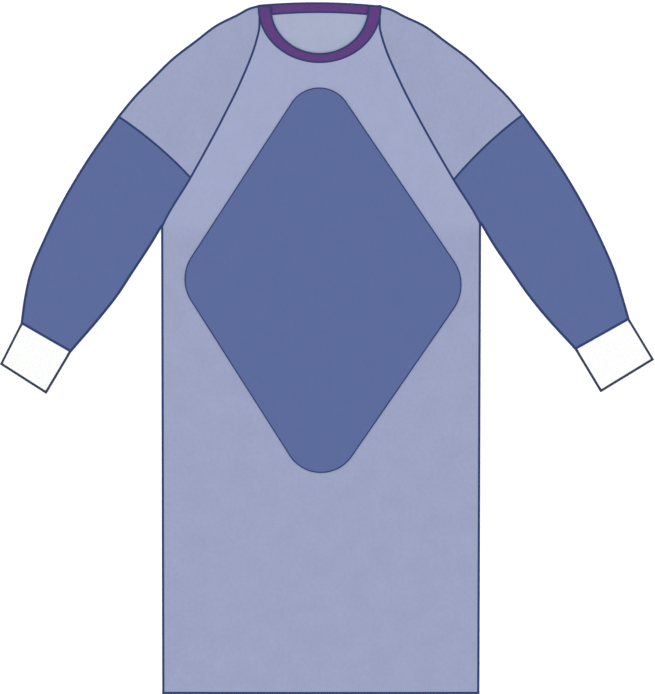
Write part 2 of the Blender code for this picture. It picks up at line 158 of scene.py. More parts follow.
Corner = namedtuple("Corner", "across up radius steps")
PANEL = (
    Corner(-4.1, 1144.2, 60, 6),
    Corner(-260.4, 750, 74, 3),
    Corner(-2.0, 344.4, 68, 6),
    Corner(270.7, 739, 77, 3),
)
MIDDLE = (CUFF_END["right"][0].out - CUFF_END["left"][0].out) / 2 * MM
HOME = np.array([-MIDDLE, -LENGTH / 2, 0])
print(f"cut for a gown {LENGTH:.2f} m long and {2 * HEM_HALF:.3f} m wide at the hem")

# %% [markdown]
# ## Lines
#
# A cut edge is a smooth curve through a few measured points. The curve here is the cubic that passes
# through every point with a slope taken from its neighbours, as a tailor's French curve would. A panel is
# then filled in between its four edges with a Coons patch, which needs no more than the edges.

# %% Points along a line
def metres(rows):
    """A table's rows as an array of points in metres."""
    return np.array(rows, dtype=float) * MM


def run(points):
    """Distance walked along a line, at each of its points: the running sum of its steps."""
    return np.concatenate([[0.0], np.cumsum(np.linalg.norm(np.diff(points, axis=0), axis=1))])


def shares_of(points):
    """How far along its line each point is, as a share of the whole."""
    at = run(points)
    return at / at[-1]


def spread(points, shares):
    """Points at the given shares, 0 to 1, of the way along a line."""
    at = shares_of(points)
    return np.column_stack([np.interp(shares, at, column) for column in points.T])


def straight(start, end, steps):
    """Evenly spaced points from start to end."""
    t = np.linspace(0, 1, steps + 1)[:, None]
    return np.asarray(start) * (1 - t) + np.asarray(end) * t


def smooth(t, start=0, end=1):
    """0 to 1 with level ends: 3s^2 - 2s^3, s being the share of the way from start to end."""
    s = np.clip((t - start) / (end - start), 0, 1)
    return s * s * (3 - 2 * s)


def unit(vectors):
    """The same vectors, each one unit long."""
    return vectors / np.linalg.norm(vectors, axis=-1, keepdims=True)


def mirrored(points, sign):
    """The same points on the left (-1) or right (+1) side: x times sign."""
    return points * np.array([sign] + [1] * (points.shape[-1] - 1))


# %% Smooth curves and patches
FINE = 4                     # each step of the solids is cut into this many
TRACE_STEPS = 12


def trace(knots, steps):
    """A smooth curve through the knots: Hermite cubics, each cut into its number of steps."""
    at = run(knots)
    slopes = np.gradient(knots, at, axis=0)
    stretches = [np.linspace(at[k], at[k + 1], n, endpoint=False) for k, n in enumerate(steps)]
    stops = np.concatenate(stretches + [at[-1:]])
    k = np.clip(np.searchsorted(at, stops, side="right") - 1, 0, len(at) - 2)
    span = (at[k + 1] - at[k])[:, None]
    t = (stops - at[k])[:, None] / span
    start = (2 * t**3 - 3 * t**2 + 1) * knots[k] + (t**3 - 2 * t**2 + t) * span * slopes[k]
    end = (3 * t**2 - 2 * t**3) * knots[k + 1] + (t**3 - t**2) * span * slopes[k + 1]
    return start + end


def traced(rows):
    """The smooth curve through a table's rows, finely cut."""
    return trace(metres(rows), (TRACE_STEPS,) * (len(rows) - 1))


def patch(first_row, last_row, first_col, last_col):
    """Coons patch: a blend along the rows, plus one along the columns, less one of the four corners."""
    s = ((shares_of(first_row) + shares_of(last_row)) / 2)[None, :, None]
    t = ((shares_of(first_col) + shares_of(last_col)) / 2)[:, None, None]
    across = (1 - t) * first_row[None] + t * last_row[None]
    along = (1 - s) * first_col[:, None] + s * last_col[:, None]
    corners = ((1 - t) * ((1 - s) * first_row[0] + s * first_row[-1])
               + t * ((1 - s) * last_row[0] + s * last_row[-1]))
    return across + along - corners


# %% The edges that pieces share
BACK_STEPS = 68              # across a back half


def neck_line(radii, degrees, sign=1):
    """Half ellipse: (a cos, up - b sin) of the angle below its widest point. sign -1 is the left half."""
    angle = np.radians(degrees)
    across, down = radii[0] * np.cos(angle), radii[1] * np.sin(angle)
    return np.column_stack([across + sign * NECK_ACROSS, NECK_UP - down])


def back_neckline(side, arch=BACK_LOWER):
    """An edge of the binding at the back of the neck: a parabola, from the lapped edge out to the corner."""
    out = np.linspace(-LAP, NECK_OUTER[0] + SIDES[side] * NECK_ACROSS, BACK_STEPS + 1)
    share = (SIDES[side] * out - arch.across) / NECK_OUTER[0]
    return np.column_stack([out, arch.up - arch.dip * share ** 2])


def raglan_line(side, back=False):
    """Raglan seam, neck to underarm. On the back it starts at the corner of the back neckline."""
    start = back_neckline(side)[-1:] if back else neck_line(NECK_OUTER, [RAGLAN_DEG], SIDES[side])
    return trace(np.vstack([start, metres(RAGLAN[side])]), [n * FINE for n in RAGLAN_STEPS])


def cross_seam(start, end, steps):
    """Seam across the sleeve: a straight line plus a parabola that arches towards the neck."""
    t = np.linspace(0, 1, steps + 1)[:, None]
    direction = unit(np.asarray(end) - np.asarray(start))
    square = np.array([-direction[1], direction[0]])
    towards_neck = square if square[1] > 0 else -square
    return straight(start, end, steps) + towards_neck * REINFORCED_BULGE * 4 * t * (1 - t)


REINFORCED = FINE * sum(RAGLAN_STEPS[:REINFORCED_AT])
for side in SIDES:
    print(f"{side} raglan seam {run(raglan_line(side))[-1]:.3f} m, fold of its sleeve "
          f"{run(traced(SHOULDER[side]))[-1] + run(traced(FOREARM[side]))[-1]:.3f} m")

# %% [markdown]
# ## How high the layers lie
#
# Laid flat, a gown is four layers of cloth in a stack a few millimetres high. The right back half lies on
# the table, the left one laps over it, and the front lies on both, highest along the middle. Nonwoven
# cloth keeps soft waves where it was handled, so a short table lists a few. A wave is a bump
# with a rounded section that fades out at both ends. They all rise, because a layer below is in the way.

# %% Heights and soft waves
Wave = namedtuple("Wave", "out up turn length width rise")

FRONT_WAVES = (
    Wave(-168, 330, 82, 430, 52, 1.0),
    Wave(-96, 190, 97, 300, 40, 0.7),
    Wave(38, 250, 88, 390, 58, 0.9),
    Wave(142, 170, 79, 260, 36, 0.8),
    Wave(196, 420, 94, 340, 44, 0.9),
    Wave(-205, 640, 86, 260, 34, 0.6),
    Wave(-20, 760, 101, 330, 66, 0.7),
    Wave(96, 640, 76, 280, 48, 0.6),
    Wave(150, 985, 58, 190, 30, 0.6),
    Wave(-140, 1020, 121, 170, 28, 0.6),
    Wave(10, 1085, 8, 120, 26, 0.4),
)
BACK_WAVES = (
    Wave(-200, 420, 84, 460, 36, 0.4),
    Wave(-60, 820, 95, 380, 44, 0.6),
    Wave(70, 330, 88, 420, 46, 0.6),
    Wave(160, 700, 97, 360, 36, 0.5),
    Wave(-30, 1180, 12, 90, 22, 0.3),
)
SLEEVE_WAVES = (
    Wave(206, 1130, 128, 130, 20, 0.6),
    Wave(262, 1060, 142, 150, 22, 0.7),
    Wave(352, 930, 28, 110, 16, 0.6),
    Wave(398, 845, 46, 130, 18, 0.8),
    Wave(428, 800, 20, 90, 13, 0.6),
    Wave(470, 735, 118, 110, 12, 0.6),
    Wave(505, 705, 112, 90, 10, 0.5),
    Wave(440, 690, 124, 80, 10, 0.5),
)


def wave_height(plan, waves):
    """Sum of rise * (1 - a^2)^2 * (1 - b^2)^2: a is across / width, and b is along / half the length."""
    height = np.zeros(plan.shape[:-1])
    for wave in waves:
        turn = math.radians(wave.turn)
        dx, dy = plan[..., 0] - wave.out * MM, plan[..., 1] - wave.up * MM
        along = (dx * math.cos(turn) + dy * math.sin(turn)) / (wave.length / 2 * MM)
        across = (dy * math.cos(turn) - dx * math.sin(turn)) / (wave.width * MM)
        height += wave.rise * MM * np.clip(1 - across**2, 0, 1) ** 2 * np.clip(1 - along**2, 0, 1) ** 2
    return height


def front_floor(plan):
    """Underside of the front's wall: level, plus a cosine squared across, plus a rise at the neck."""
    across = np.cos(np.pi / 2 * np.clip(plan[..., 0] / HEM_HALF, -1, 1)) ** 2
    near_neck = smooth(plan[..., 1], *NECK_SLOPE)
    return CLOTH + SEAM_GAP + FRONT_RISE * across + NECK_RISE * near_neck + wave_height(plan, FRONT_WAVES)


def back_floor(plan, side):
    """Underside of a back half's wall: the right one lies on the table, the left one climbs onto it."""
    lap = smooth(plan[..., 0], *LAP_SLOPE) if side == "left" else 0.0
    return LAP_RISE * lap + wave_height(plan, BACK_WAVES)


def stand(plan, height):
    """Plan points with a height added: one for each point, or the same for all."""
    height = np.broadcast_to(np.asarray(height)[..., None], plan.shape[:-1] + (1,))
    return np.concatenate([plan, height], axis=-1)


grid = np.stack(np.meshgrid(np.linspace(-HEM_HALF, HEM_HALF, 90), np.linspace(0, LENGTH, 200)), axis=-1)
for side, sign in SIDES.items():
    room = (front_floor(grid) - back_floor(grid, side) - CLOTH)[grid[..., 0] * sign > -LAP]
    print(f"least room between the front and the {side} back half: {room.min() / MM:.2f} mm")

# %% [markdown]
# ## From grids to meshes
#
# Every piece is a grid of points, made once for the face that is seen and once for the face behind it. The
# two are joined round their open edges into a closed sheet. All of it is done with whole arrays: an edge
# that only one cell uses is on the rim, and the sign of the volume tells which way the faces point.
#
# The UV map holds metres along the cloth, so a pattern in the cloth keeps its real size and runs with
# the grain, round a fold as well.

# %% A closed sheet from two grids
Surface = namedtuple("Surface", "points faces uv")     # quads, with a UV pair at each of their corners
UV_MAP = "cloth"


def cloth_uv(grid, closed):
    """Metres walked along the rows and along the columns, at each grid point."""
    if closed:
        grid = np.concatenate([grid, grid[:, :1]], axis=1)
    across = np.linalg.norm(np.diff(grid, axis=1), axis=2)
    along = np.linalg.norm(np.diff(grid, axis=0), axis=2)
    u = np.concatenate([np.zeros((len(grid), 1)), np.cumsum(across, axis=1)], axis=1)
    v = np.concatenate([np.zeros((1, grid.shape[1])), np.cumsum(along, axis=0)], axis=0)
    return np.stack([u, v], axis=-1)


def cells_of(grid):
    """The four corners of each cell of a grid, in order round it."""
    return np.stack([grid[:-1, :-1], grid[:-1, 1:], grid[1:, 1:], grid[1:, :-1]], axis=2)


def sheet(face, behind, closed=False, kept=None, uv=None):
    """A closed sheet from two grids of points. closed joins the last column to the first."""
    rows, cols = face.shape[:2]
    count = rows * cols
    index = np.arange(count).reshape(rows, cols)
    if closed:
        index = np.hstack([index, index[:, :1]])
    uv = cloth_uv(face, closed) if uv is None else uv
    kept = np.ones((rows - 1, index.shape[1] - 1), bool) if kept is None else kept
    quads, marks = cells_of(index)[kept], cells_of(uv)[kept]

    start, end = quads, np.roll(quads, -1, axis=1)
    rim = ~np.isin(end * count + start, start * count + end)
    a, b, uv_a, uv_b = start[rim], end[rim], marks[rim], np.roll(marks, -1, axis=1)[rim]
    faces = np.vstack([quads, quads[:, ::-1] + count, np.stack([b, a, a + count, b + count], axis=1)])
    marks = np.concatenate([marks, marks[:, ::-1], np.stack([uv_b, uv_a, uv_a, uv_b], axis=1)])
    points = np.vstack([face.reshape(-1, 3), behind.reshape(-1, 3)])
    used, faces = np.unique(faces, return_inverse=True)
    return Surface(points[used], faces.reshape(-1, 4), marks)


# %% Joining surfaces and turning them outwards
def joined(surfaces):
    """Several surfaces as one."""
    starts = np.cumsum([0] + [len(s.points) for s in surfaces[:-1]])
    return Surface(np.vstack([s.points for s in surfaces]),
                   np.vstack([s.faces + start for s, start in zip(surfaces, starts)]),
                   np.vstack([s.uv for s in surfaces]))


def volume(surface):
    """Sum over the triangles of a . (b x c) / 6, which is positive where the faces point outwards."""
    corners = surface.points[surface.faces]
    first = np.einsum("ij,ij->i", corners[:, 0], np.cross(corners[:, 1], corners[:, 2]))
    second = np.einsum("ij,ij->i", corners[:, 0], np.cross(corners[:, 2], corners[:, 3]))
    return (first.sum() + second.sum()) / 6


# %% Objects in the scene
def placed(name, data):
    """A new object in the scene, for a mesh, a lamp or a camera."""
    item = bpy.data.objects.new(name, data)
    bpy.context.scene.collection.objects.link(item)
    return item


def make_piece(name, surfaces, *materials, sharp=40):
    """A mesh object at the origin, its place in its points, from one surface or a list of them."""
    surfaces = surfaces if isinstance(surfaces, list) else [surfaces]
    whole = joined([s if volume(s) > 0 else Surface(s.points, s.faces[:, ::-1], s.uv[:, ::-1])
                    for s in surfaces])
    mesh = bpy.data.meshes.new(name)
    mesh.from_pydata((whole.points + HOME).tolist(), [], whole.faces.tolist())
    mesh.uv_layers.new(name=UV_MAP).data.foreach_set("uv", whole.uv.ravel())
    mesh.shade_smooth()
    mesh.set_sharp_from_angle(angle=math.radians(sharp))
    for material in materials:
        mesh.materials.append(material)
    mesh.validate()
    piece = placed(name, mesh)
    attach(piece, "root")
    print(f"{name}: {2 * len(mesh.polygons)} triangles")
    return piece


cloth = {}                   # the piece that stands for each solid, by the solid's name


def replace(node, kind, surface, *materials, **options):
    """Makes the piece that stands for a solid. Its name is the solid's, with the kind of cloth."""
    cloth[node] = make_piece(f"{node}_{kind}", surface, *materials, **options)
    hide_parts(node)


# %% [markdown]
# ## Finishes
#
# A surgical gown is not woven. Its cloth is a web of fibres, pressed together at small bonded points in a
# staggered lattice. From arm's length it looks even and matte, with faint clouds where the web is denser.
# Closer, the points show as tiny smooth dimples and the fibres as fine streaks along the roll.
#
# Each kind of surface is a node group that puts out a colour and a height, the nonwoven one a roughness as
# well, and the materials give it their own values: nonwoven, rib knit, sewing thread and folded tape.

# %% A short way to build node trees
def srgb(red, green, blue):
    """A colour given as 0 to 255 on a screen, as linear light."""
    share = np.array([red, green, blue]) / 255
    linear = np.where(share <= 0.04045, share / 12.92, ((share + 0.055) / 1.055) ** 2.4)
    return (*linear.tolist(), 1.0)


def add(tree, kind, inputs=None, **settings):
    """A node with its settings. An input that is a socket gets linked, and any other is a value."""
    node = tree.nodes.new(kind)
    for name, value in settings.items():
        setattr(node, name, value)
    for key, value in (inputs or {}).items():
        if isinstance(value, bpy.types.NodeSocket):
            tree.links.new(value, node.inputs[key])
        else:
            node.inputs[key].default_value = value
    return node


def calc(tree, operation, *values):
    """A Math node's result."""
    return add(tree, "ShaderNodeMath", dict(enumerate(values)), operation=operation).outputs[0]


def new_group(name, **numbers):
    """A node group that takes a place, a colour and numbers, and puts out a colour and a height."""
    tree = bpy.data.node_groups.new(name, "ShaderNodeTree")
    tree.interface.new_socket(name="Place", in_out="INPUT", socket_type="NodeSocketVector")
    tree.interface.new_socket(name="Colour", in_out="INPUT", socket_type="NodeSocketColor")
    for key, default in numbers.items():
        socket = tree.interface.new_socket(name=key, in_out="INPUT", socket_type="NodeSocketFloat")
        socket.default_value = default
    tree.interface.new_socket(name="Colour", in_out="OUTPUT", socket_type="NodeSocketColor")
    tree.interface.new_socket(name="Height", in_out="OUTPUT", socket_type="NodeSocketFloat")
    return tree, add(tree, "NodeGroupInput").outputs


def put_out(tree, colour, shade, height, **others):
    """Closes a group: the colour times its shade, the height, and anything else that varies."""
    shaded = add(tree, "ShaderNodeVectorMath", {0: colour, "Scale": shade}, operation="SCALE")
    add(tree, "NodeGroupOutput", {"Colour": shaded.outputs[0], "Height": height, **others})
    return tree


def noise(tree, place, scale, detail):
    """Flat noise from 0 to 1, its features about 1 / scale metres wide."""
    return add(tree, "ShaderNodeTexNoise", {"Vector": place, "Scale": scale, "Detail": detail},
               noise_dimensions="2D").outputs[0]


def built_up(tree, base, *terms):
    """A base value plus each value times its amount."""
    for value, amount in terms:
        base = calc(tree, "MULTIPLY_ADD", value, amount, base)
    return base


def fade(tree, value, start, end, first=0, last=1):
    """From first to last with level ends, while the value goes from start to end."""
    limits = {"Value": value, "From Min": start, "From Max": end, "To Min": first, "To Max": last}
    return add(tree, "ShaderNodeMapRange", limits, interpolation_type="SMOOTHSTEP").outputs[0]


# %% Nonwoven cloth
BOND_PITCH = 1.5 * MM
BOND_LATTICE = (1 / BOND_PITCH, 0.78 / BOND_PITCH, 1)
BOND_EDGE = (0.2, 0.34)      # a bonded point fades out between these shares of the pitch
FIBRES = (2300, 420, 1)      # to a metre, across the roll and along it
CLOUDS, MOTTLES = 24, 150    # to a metre
PAINTED_LIGHT_FROM = 0.825            # metres up the front, from where its colour is painted paler: painted light, as if the upper front were lit more
PAINTED_LIGHT_OVER = 0.035
CLOUD_SHADE, FIBRE_SHADE, BOND_SHADE = 0.09, 0.16, -0.07
BOND_GLOSS = -0.16           # added to the roughness on a bonded point


def nonwoven_group():
    """Fibres streaked along the roll, clouds of denser web, and a staggered lattice of bonded points."""
    tree, given = new_group("bonded_nonwoven", Fibre=1.0, Bond=1.0, Cloud=1.0, Matte=0.75, Pale=0.0)
    tree.interface.new_socket(name="Roughness", in_out="OUTPUT", socket_type="NodeSocketFloat")
    place = given["Place"]
    lattice = add(tree, "ShaderNodeMapping",
                  {"Vector": place, "Rotation": (0, 0, math.radians(45)), "Scale": BOND_LATTICE})
    cell = add(tree, "ShaderNodeTexVoronoi", {"Vector": lattice.outputs[0], "Scale": 1, "Randomness": 0},
               voronoi_dimensions="2D")
    dot = fade(tree, cell.outputs["Distance"], *BOND_EDGE, 1, 0)
    bond = calc(tree, "MULTIPLY", dot, given["Bond"])
    combed = add(tree, "ShaderNodeMapping", {"Vector": place, "Scale": FIBRES})
    fibre = calc(tree, "SUBTRACT", noise(tree, combed.outputs[0], 1, 4), 0.5)
    fibre = calc(tree, "MULTIPLY", fibre, given["Fibre"])
    cloud = calc(tree, "ADD", noise(tree, place, CLOUDS, 4), noise(tree, place, MOTTLES, 3))
    cloud = calc(tree, "SUBTRACT", cloud, 1.0)
    up = add(tree, "ShaderNodeSeparateXYZ", {0: place}).outputs[1]
    # painted light: the colour is lifted above this height, as if more light fell on the upper front
    chest = fade(tree, up, PAINTED_LIGHT_FROM, PAINTED_LIGHT_FROM + PAINTED_LIGHT_OVER)
    shade = built_up(tree, 1.0, (cloud, calc(tree, "MULTIPLY", given["Cloud"], CLOUD_SHADE)),
                     (fibre, FIBRE_SHADE), (bond, BOND_SHADE), (chest, given["Pale"]))
    roughness = built_up(tree, given["Matte"], (dot, BOND_GLOSS))
    return put_out(tree, given["Colour"], shade, calc(tree, "SUBTRACT", fibre, bond), Roughness=roughness)


# %% Rib knit, thread and tape
COURSE = 1.6 * MM            # one row of knit stitches
LEAN = 0.55                  # how many rows a stitch runs on from the middle of its rib to the side
FLUFF, SLUBS, WEAR = 40, 300, 90    # to a half rib in knit, and to a metre in thread and in tape
PLY = 0.42 * MM              # one turn of a thread's twist
TWIST = 0.6                  # slant of the turns, as across over along
YARNS = (0.55 * MM, 0.5 * MM)


def zigzag(tree, value):
    """1 at each whole number and 0 half way between them: |2 * fraction - 1|."""
    return calc(tree, "ABSOLUTE", calc(tree, "MULTIPLY_ADD", calc(tree, "FRACT", value), 2, -1))


def knit_group():
    """Chevrons of knit stitches: a sine along the rib, later towards its sides, times 1 - side^3."""
    tree, given = new_group("rib_knit")
    place = add(tree, "ShaderNodeSeparateXYZ", {0: given["Place"]})
    side = zigzag(tree, place.outputs[0])
    row = built_up(tree, calc(tree, "DIVIDE", place.outputs[1], COURSE), (side, LEAN))
    loop = calc(tree, "MULTIPLY", calc(tree, "SUBTRACT", 1, zigzag(tree, row)), math.pi / 2)
    round_side = calc(tree, "SUBTRACT", 1, calc(tree, "POWER", side, 3))
    stitch = calc(tree, "MULTIPLY", calc(tree, "SINE", loop), round_side)
    height = built_up(tree, stitch, (noise(tree, given["Place"], FLUFF, 3), 0.25))
    # painted shade: the knit is painted darker where its stitches and fluff lie low, and lighter on their
    # tops
    return put_out(tree, given["Colour"], built_up(tree, 0.96, (height, 0.05)), height)


def thread_group():
    """Sewing thread: fine ridges of its twist, at a slant to its run."""
    tree, given = new_group("sewing_thread")
    place = add(tree, "ShaderNodeSeparateXYZ", {0: given["Place"]})
    turn = calc(tree, "DIVIDE", built_up(tree, place.outputs[0], (place.outputs[1], TWIST)), PLY)
    ridge = calc(tree, "ABSOLUTE", calc(tree, "SINE", calc(tree, "MULTIPLY", turn, math.pi)))
    # painted shade: the thread is painted lighter on the ridges of its twist and darker between them; the
    # slub noise is its own uneven tone
    shade = built_up(tree, 0.7, (ridge, 0.3), (noise(tree, given["Place"], SLUBS, 2), 0.3))
    return put_out(tree, given["Colour"], shade, ridge)


def tape_group():
    """Folded tape: a fine basket of crossed yarns, the height being the product of two waves."""
    tree, given = new_group("folded_tape")
    pitch = (math.pi / YARNS[0], math.pi / YARNS[1], 1)
    yarns = add(tree, "ShaderNodeMapping", {"Vector": given["Place"], "Scale": pitch})
    place = add(tree, "ShaderNodeSeparateXYZ", {0: yarns.outputs[0]})
    basket = calc(tree, "MULTIPLY", *(calc(tree, "SINE", output) for output in place.outputs[:2]))
    # painted shade: the tape is painted darker in the hollows of its basket and lighter on the crossings;
    # the wear noise is its own uneven tone
    shade = built_up(tree, 0.92, (basket, 0.06), (noise(tree, given["Place"], WEAR, 3), 0.16))
    return put_out(tree, given["Colour"], shade, basket)


GROUPS = {"nonwoven": nonwoven_group(), "knit": knit_group(), "thread": thread_group(), "tape": tape_group()}


# %% The materials themselves
def finish(name, group, colour, bump, sheen, roughness=None, **values):
    """A material: its group places the colour, and the group's height is a bump of the given depth."""
    material = bpy.data.materials.new(name)
    material.use_nodes = True
    tree = material.node_tree
    place = add(tree, "ShaderNodeUVMap", uv_map=UV_MAP).outputs[0]
    surface = add(tree, "ShaderNodeGroup", node_tree=GROUPS[group])
    tree.links.new(place, surface.inputs["Place"])
    surface.inputs["Colour"].default_value = colour
    for key, value in values.items():
        surface.inputs[key].default_value = value
    height = surface.outputs["Height"]
    relief = add(tree, "ShaderNodeBump", {"Height": height, "Distance": bump, "Strength": 1.0})
    shader = tree.nodes["Principled BSDF"]
    tree.links.new(surface.outputs["Colour"], shader.inputs["Base Color"])
    tree.links.new(relief.outputs[0], shader.inputs["Normal"])
    if roughness is None:
        tree.links.new(surface.outputs["Roughness"], shader.inputs["Roughness"])
    else:
        shader.inputs["Roughness"].default_value = roughness
    shader.inputs["Specular IOR Level"].default_value = 0.25
    shader.inputs["Sheen Weight"].default_value = sheen
    shader.inputs["Sheen Roughness"].default_value = 0.6
    material.diffuse_color = colour
    return material


LIGHT = srgb(153, 160, 192)
NAVY = srgb(28, 51, 102)
# the front's upper part is painted paler, as painted light
front_cloth = finish("front_nonwoven", "nonwoven", LIGHT, 0.05 * MM, 0.04, Pale=0.065)
light_cloth = finish("light_nonwoven", "nonwoven", LIGHT, 0.05 * MM, 0.04)
light_inside = finish("inside_nonwoven", "nonwoven", srgb(165, 172, 199), 0.05 * MM, 0.04)
dark_cloth = finish("dark_nonwoven", "nonwoven", srgb(83, 100, 151), 0.04 * MM, 0.04,
                    Fibre=0.6, Bond=0.6, Cloud=0.7, Matte=0.62)
white_knit = finish("white_knit", "knit", srgb(253, 254, 253), 0.18 * MM, 0.08, roughness=0.9)
purple_tape = finish("purple_tape", "tape", srgb(91, 50, 122), 0.06 * MM, 0.06, roughness=0.7)
purple_thread = finish("purple_thread", "thread", srgb(98, 60, 128), 0.05 * MM, 0.06, roughness=0.6)
navy_thread = finish("navy_thread", "thread", NAVY, 0.05 * MM, 0.06, roughness=0.6)
cuff_thread = finish("cuff_thread", "thread", srgb(34, 47, 75), 0.05 * MM, 0.06, roughness=0.6)
pale_thread = finish("pale_thread", "thread", LIGHT, 0.05 * MM, 0.06, roughness=0.6)
finishes = (front_cloth, light_cloth, light_inside, dark_cloth, white_knit, purple_tape,
            purple_thread, navy_thread, cuff_thread, pale_thread)
print("finishes:", ", ".join(material.name for material in finishes))

# %% [markdown]
# ## Front, backs and chest panel
#
# The front is one panel from hem to neckline. The gown opens down the back, so the back is two halves that
# lap over each other by 200 mm. A second layer of cloth, a diamond with round corners, reinforces the
# chest. Each is a Coons patch in plan that is then given its height, and all of them read the same two
# height functions, so that no layer can cut through the next.

# %% Body panels
SIDE_STEPS = 70              # hem to underarm
NECK_STEPS = 104             # across the front
TRIM = np.array([0.5 * MM, 0])    # the side edges are trimmed by this, and the thread wraps round them


def panel_side(seam):
    """Outer edge of a body panel: hem to underarm, then up the raglan seam."""
    return np.vstack([straight((HEM_HALF, 0) - TRIM, seam[-1] - TRIM, SIDE_STEPS), seam[-2::-1]])


def laid(plan, floor, room):
    """A sheet in the middle of its room: skin above and skin below are left free."""
    return sheet(stand(plan, floor + room - SKIN), stand(plan, floor + SKIN))


def front_plan():
    """The front's grid in plan: a patch between the hem, the neckline and its two sides."""
    left, right = (mirrored(panel_side(raglan_line(side)), sign) for side, sign in SIDES.items())
    degrees = np.linspace(180 - RAGLAN_DEG, RAGLAN_DEG, NECK_STEPS + 1)
    return patch(straight(left[0], right[0], NECK_STEPS), neck_line(NECK_OUTER, degrees), left, right)


def back_plan(side):
    """A back half's grid in plan: a patch between the hem, the neckline, the lapped edge and its side."""
    outer_edge = panel_side(raglan_line(side, back=True))
    neckline = back_neckline(side)
    lapped = straight((-LAP, 0), neckline[0], len(outer_edge) - 1)
    return mirrored(patch(straight(lapped[0], outer_edge[0], BACK_STEPS), neckline, lapped, outer_edge),
                    SIDES[side])


plan = front_plan()
replace("front", "cloth", laid(plan, front_floor(plan), CLOTH), front_cloth)

for side in SIDES:
    plan = back_plan(side)
    replace(f"back_{side}", "cloth", laid(plan, back_floor(plan, side), CLOTH), light_cloth, light_inside)
    polygons = cloth[f"back_{side}"].data.polygons
    normals = np.empty((len(polygons), 3))
    polygons.foreach_get("normal", normals.ravel())
    polygons.foreach_set("material_index", (normals[:, 2] > 0.5).astype(np.int32))

# %% [markdown]
# The reinforcement could have sharp corners, but a sharp corner of bonded cloth is the first to lift. So
# its outline is four arcs and four straight lines. The corners of its patch lie in the middle of the arcs,
# where they leave no pinched cells.

# %% Chest panel
PANEL_SIDE_STEPS = 36
PANEL_TRIM = 0.4 * MM        # the panel's edge lies this far inside, and the thread wraps round it


def rounded_corner(before, corner, after, radius, steps):
    """Arc that touches both sides of a corner: its centre lies radius / sin(half angle) up the bisector."""
    sides = unit(np.array([before - corner, after - corner]))
    half = math.acos(np.dot(*sides)) / 2
    centre = corner + unit(sides.sum(axis=0)) * radius / math.sin(half)
    ends = corner + sides * radius / math.tan(half) - centre
    start, end = np.unwrap(np.arctan2(ends[:, 1], ends[:, 0]))
    angle = np.linspace(start, end, 2 * steps + 1)
    return centre + radius * np.column_stack([np.cos(angle), np.sin(angle)])


def rounded(corners):
    """An outline as one line for each corner, from the middle of its arc to the middle of the next."""
    at = [np.array([c.across, c.up]) * MM for c in corners]
    steps = [c.steps * FINE for c in corners]
    following = [*range(1, len(corners)), 0]
    arcs = [rounded_corner(at[k - 1], at[k], at[after], corners[k].radius * MM, steps[k])
            for k, after in enumerate(following)]
    return [np.vstack([arcs[k][steps[k]:], straight(arcs[k][-1], arcs[after][0], PANEL_SIDE_STEPS)[1:-1],
                       arcs[after][:steps[after] + 1]]) for k, after in enumerate(following)]


def drawn_in(line, by):
    """A line moved to its left hand by the given distance, square to itself."""
    along = np.gradient(line, axis=0)
    return line + unit(np.column_stack([-along[:, 1], along[:, 0]])) * by


PANEL_SIDES = rounded(PANEL)
top_left, bottom_left, bottom_right, top_right = (drawn_in(line, PANEL_TRIM) for line in PANEL_SIDES)
plan = patch(top_left, bottom_right[::-1], top_right[::-1], bottom_left)
replace("chest_panel", "cloth", laid(plan, front_floor(plan) + CLOTH + SEAM_GAP, PANEL_CLOTH), dark_cloth)

# %% [markdown]
# ## Sleeves
#
# A raglan sleeve runs up to the neck. Laid flat it is two layers with a fold along the top of the arm. Its
# upper part is open where it is sewn to the body, so it is a sheet folded once. Below the underarm it is a
# closed tube. Both come from one recipe: an upper layer, a half circle round the fold, and a layer beneath
# it walked back the other way, as a single grid that goes round the arm.

# %% Upper sleeves
SLEEVE_STEPS = 36            # across one layer
FOREARM_STEPS = 52           # underarm to wrist
FOLD_STEPS = 10              # round a fold
WAVE_SHIFT = {"left": -9 * MM, "right": 6 * MM}
FACES = (SKIN, CLOTH - SKIN)    # how deep the two faces of a sheet lie in its room


def fold(turn, outward, height, radius):
    """Half a circle round a fold: turn + outward * r cos(a) in plan and height / 2 + r sin(a) up."""
    angle = np.linspace(np.pi / 2, -np.pi / 2, FOLD_STEPS + 1)[None, 1:-1, None]
    plan = turn[:, None] + outward[:, None] * radius[:, None, None] * np.cos(angle)
    return stand(plan, height[:, None] / 2 + radius[:, None] * np.sin(angle[..., 0]))


def layer_height(start, end, share, loft):
    """Height across a sleeve's upper layer: from one edge's to the other's, plus loft * sin squared."""
    rise = smooth(share)
    return start[:, None] * (1 - rise) + end[:, None] * rise + loft[:, None] * np.sin(np.pi * share) ** 2


def sleeve_waves(upper, share, side):
    """Waves of the upper layer, none at its edges."""
    return wave_height(upper - [0, WAVE_SHIFT[side]], SLEEVE_WAVES) * np.sin(np.pi * share)


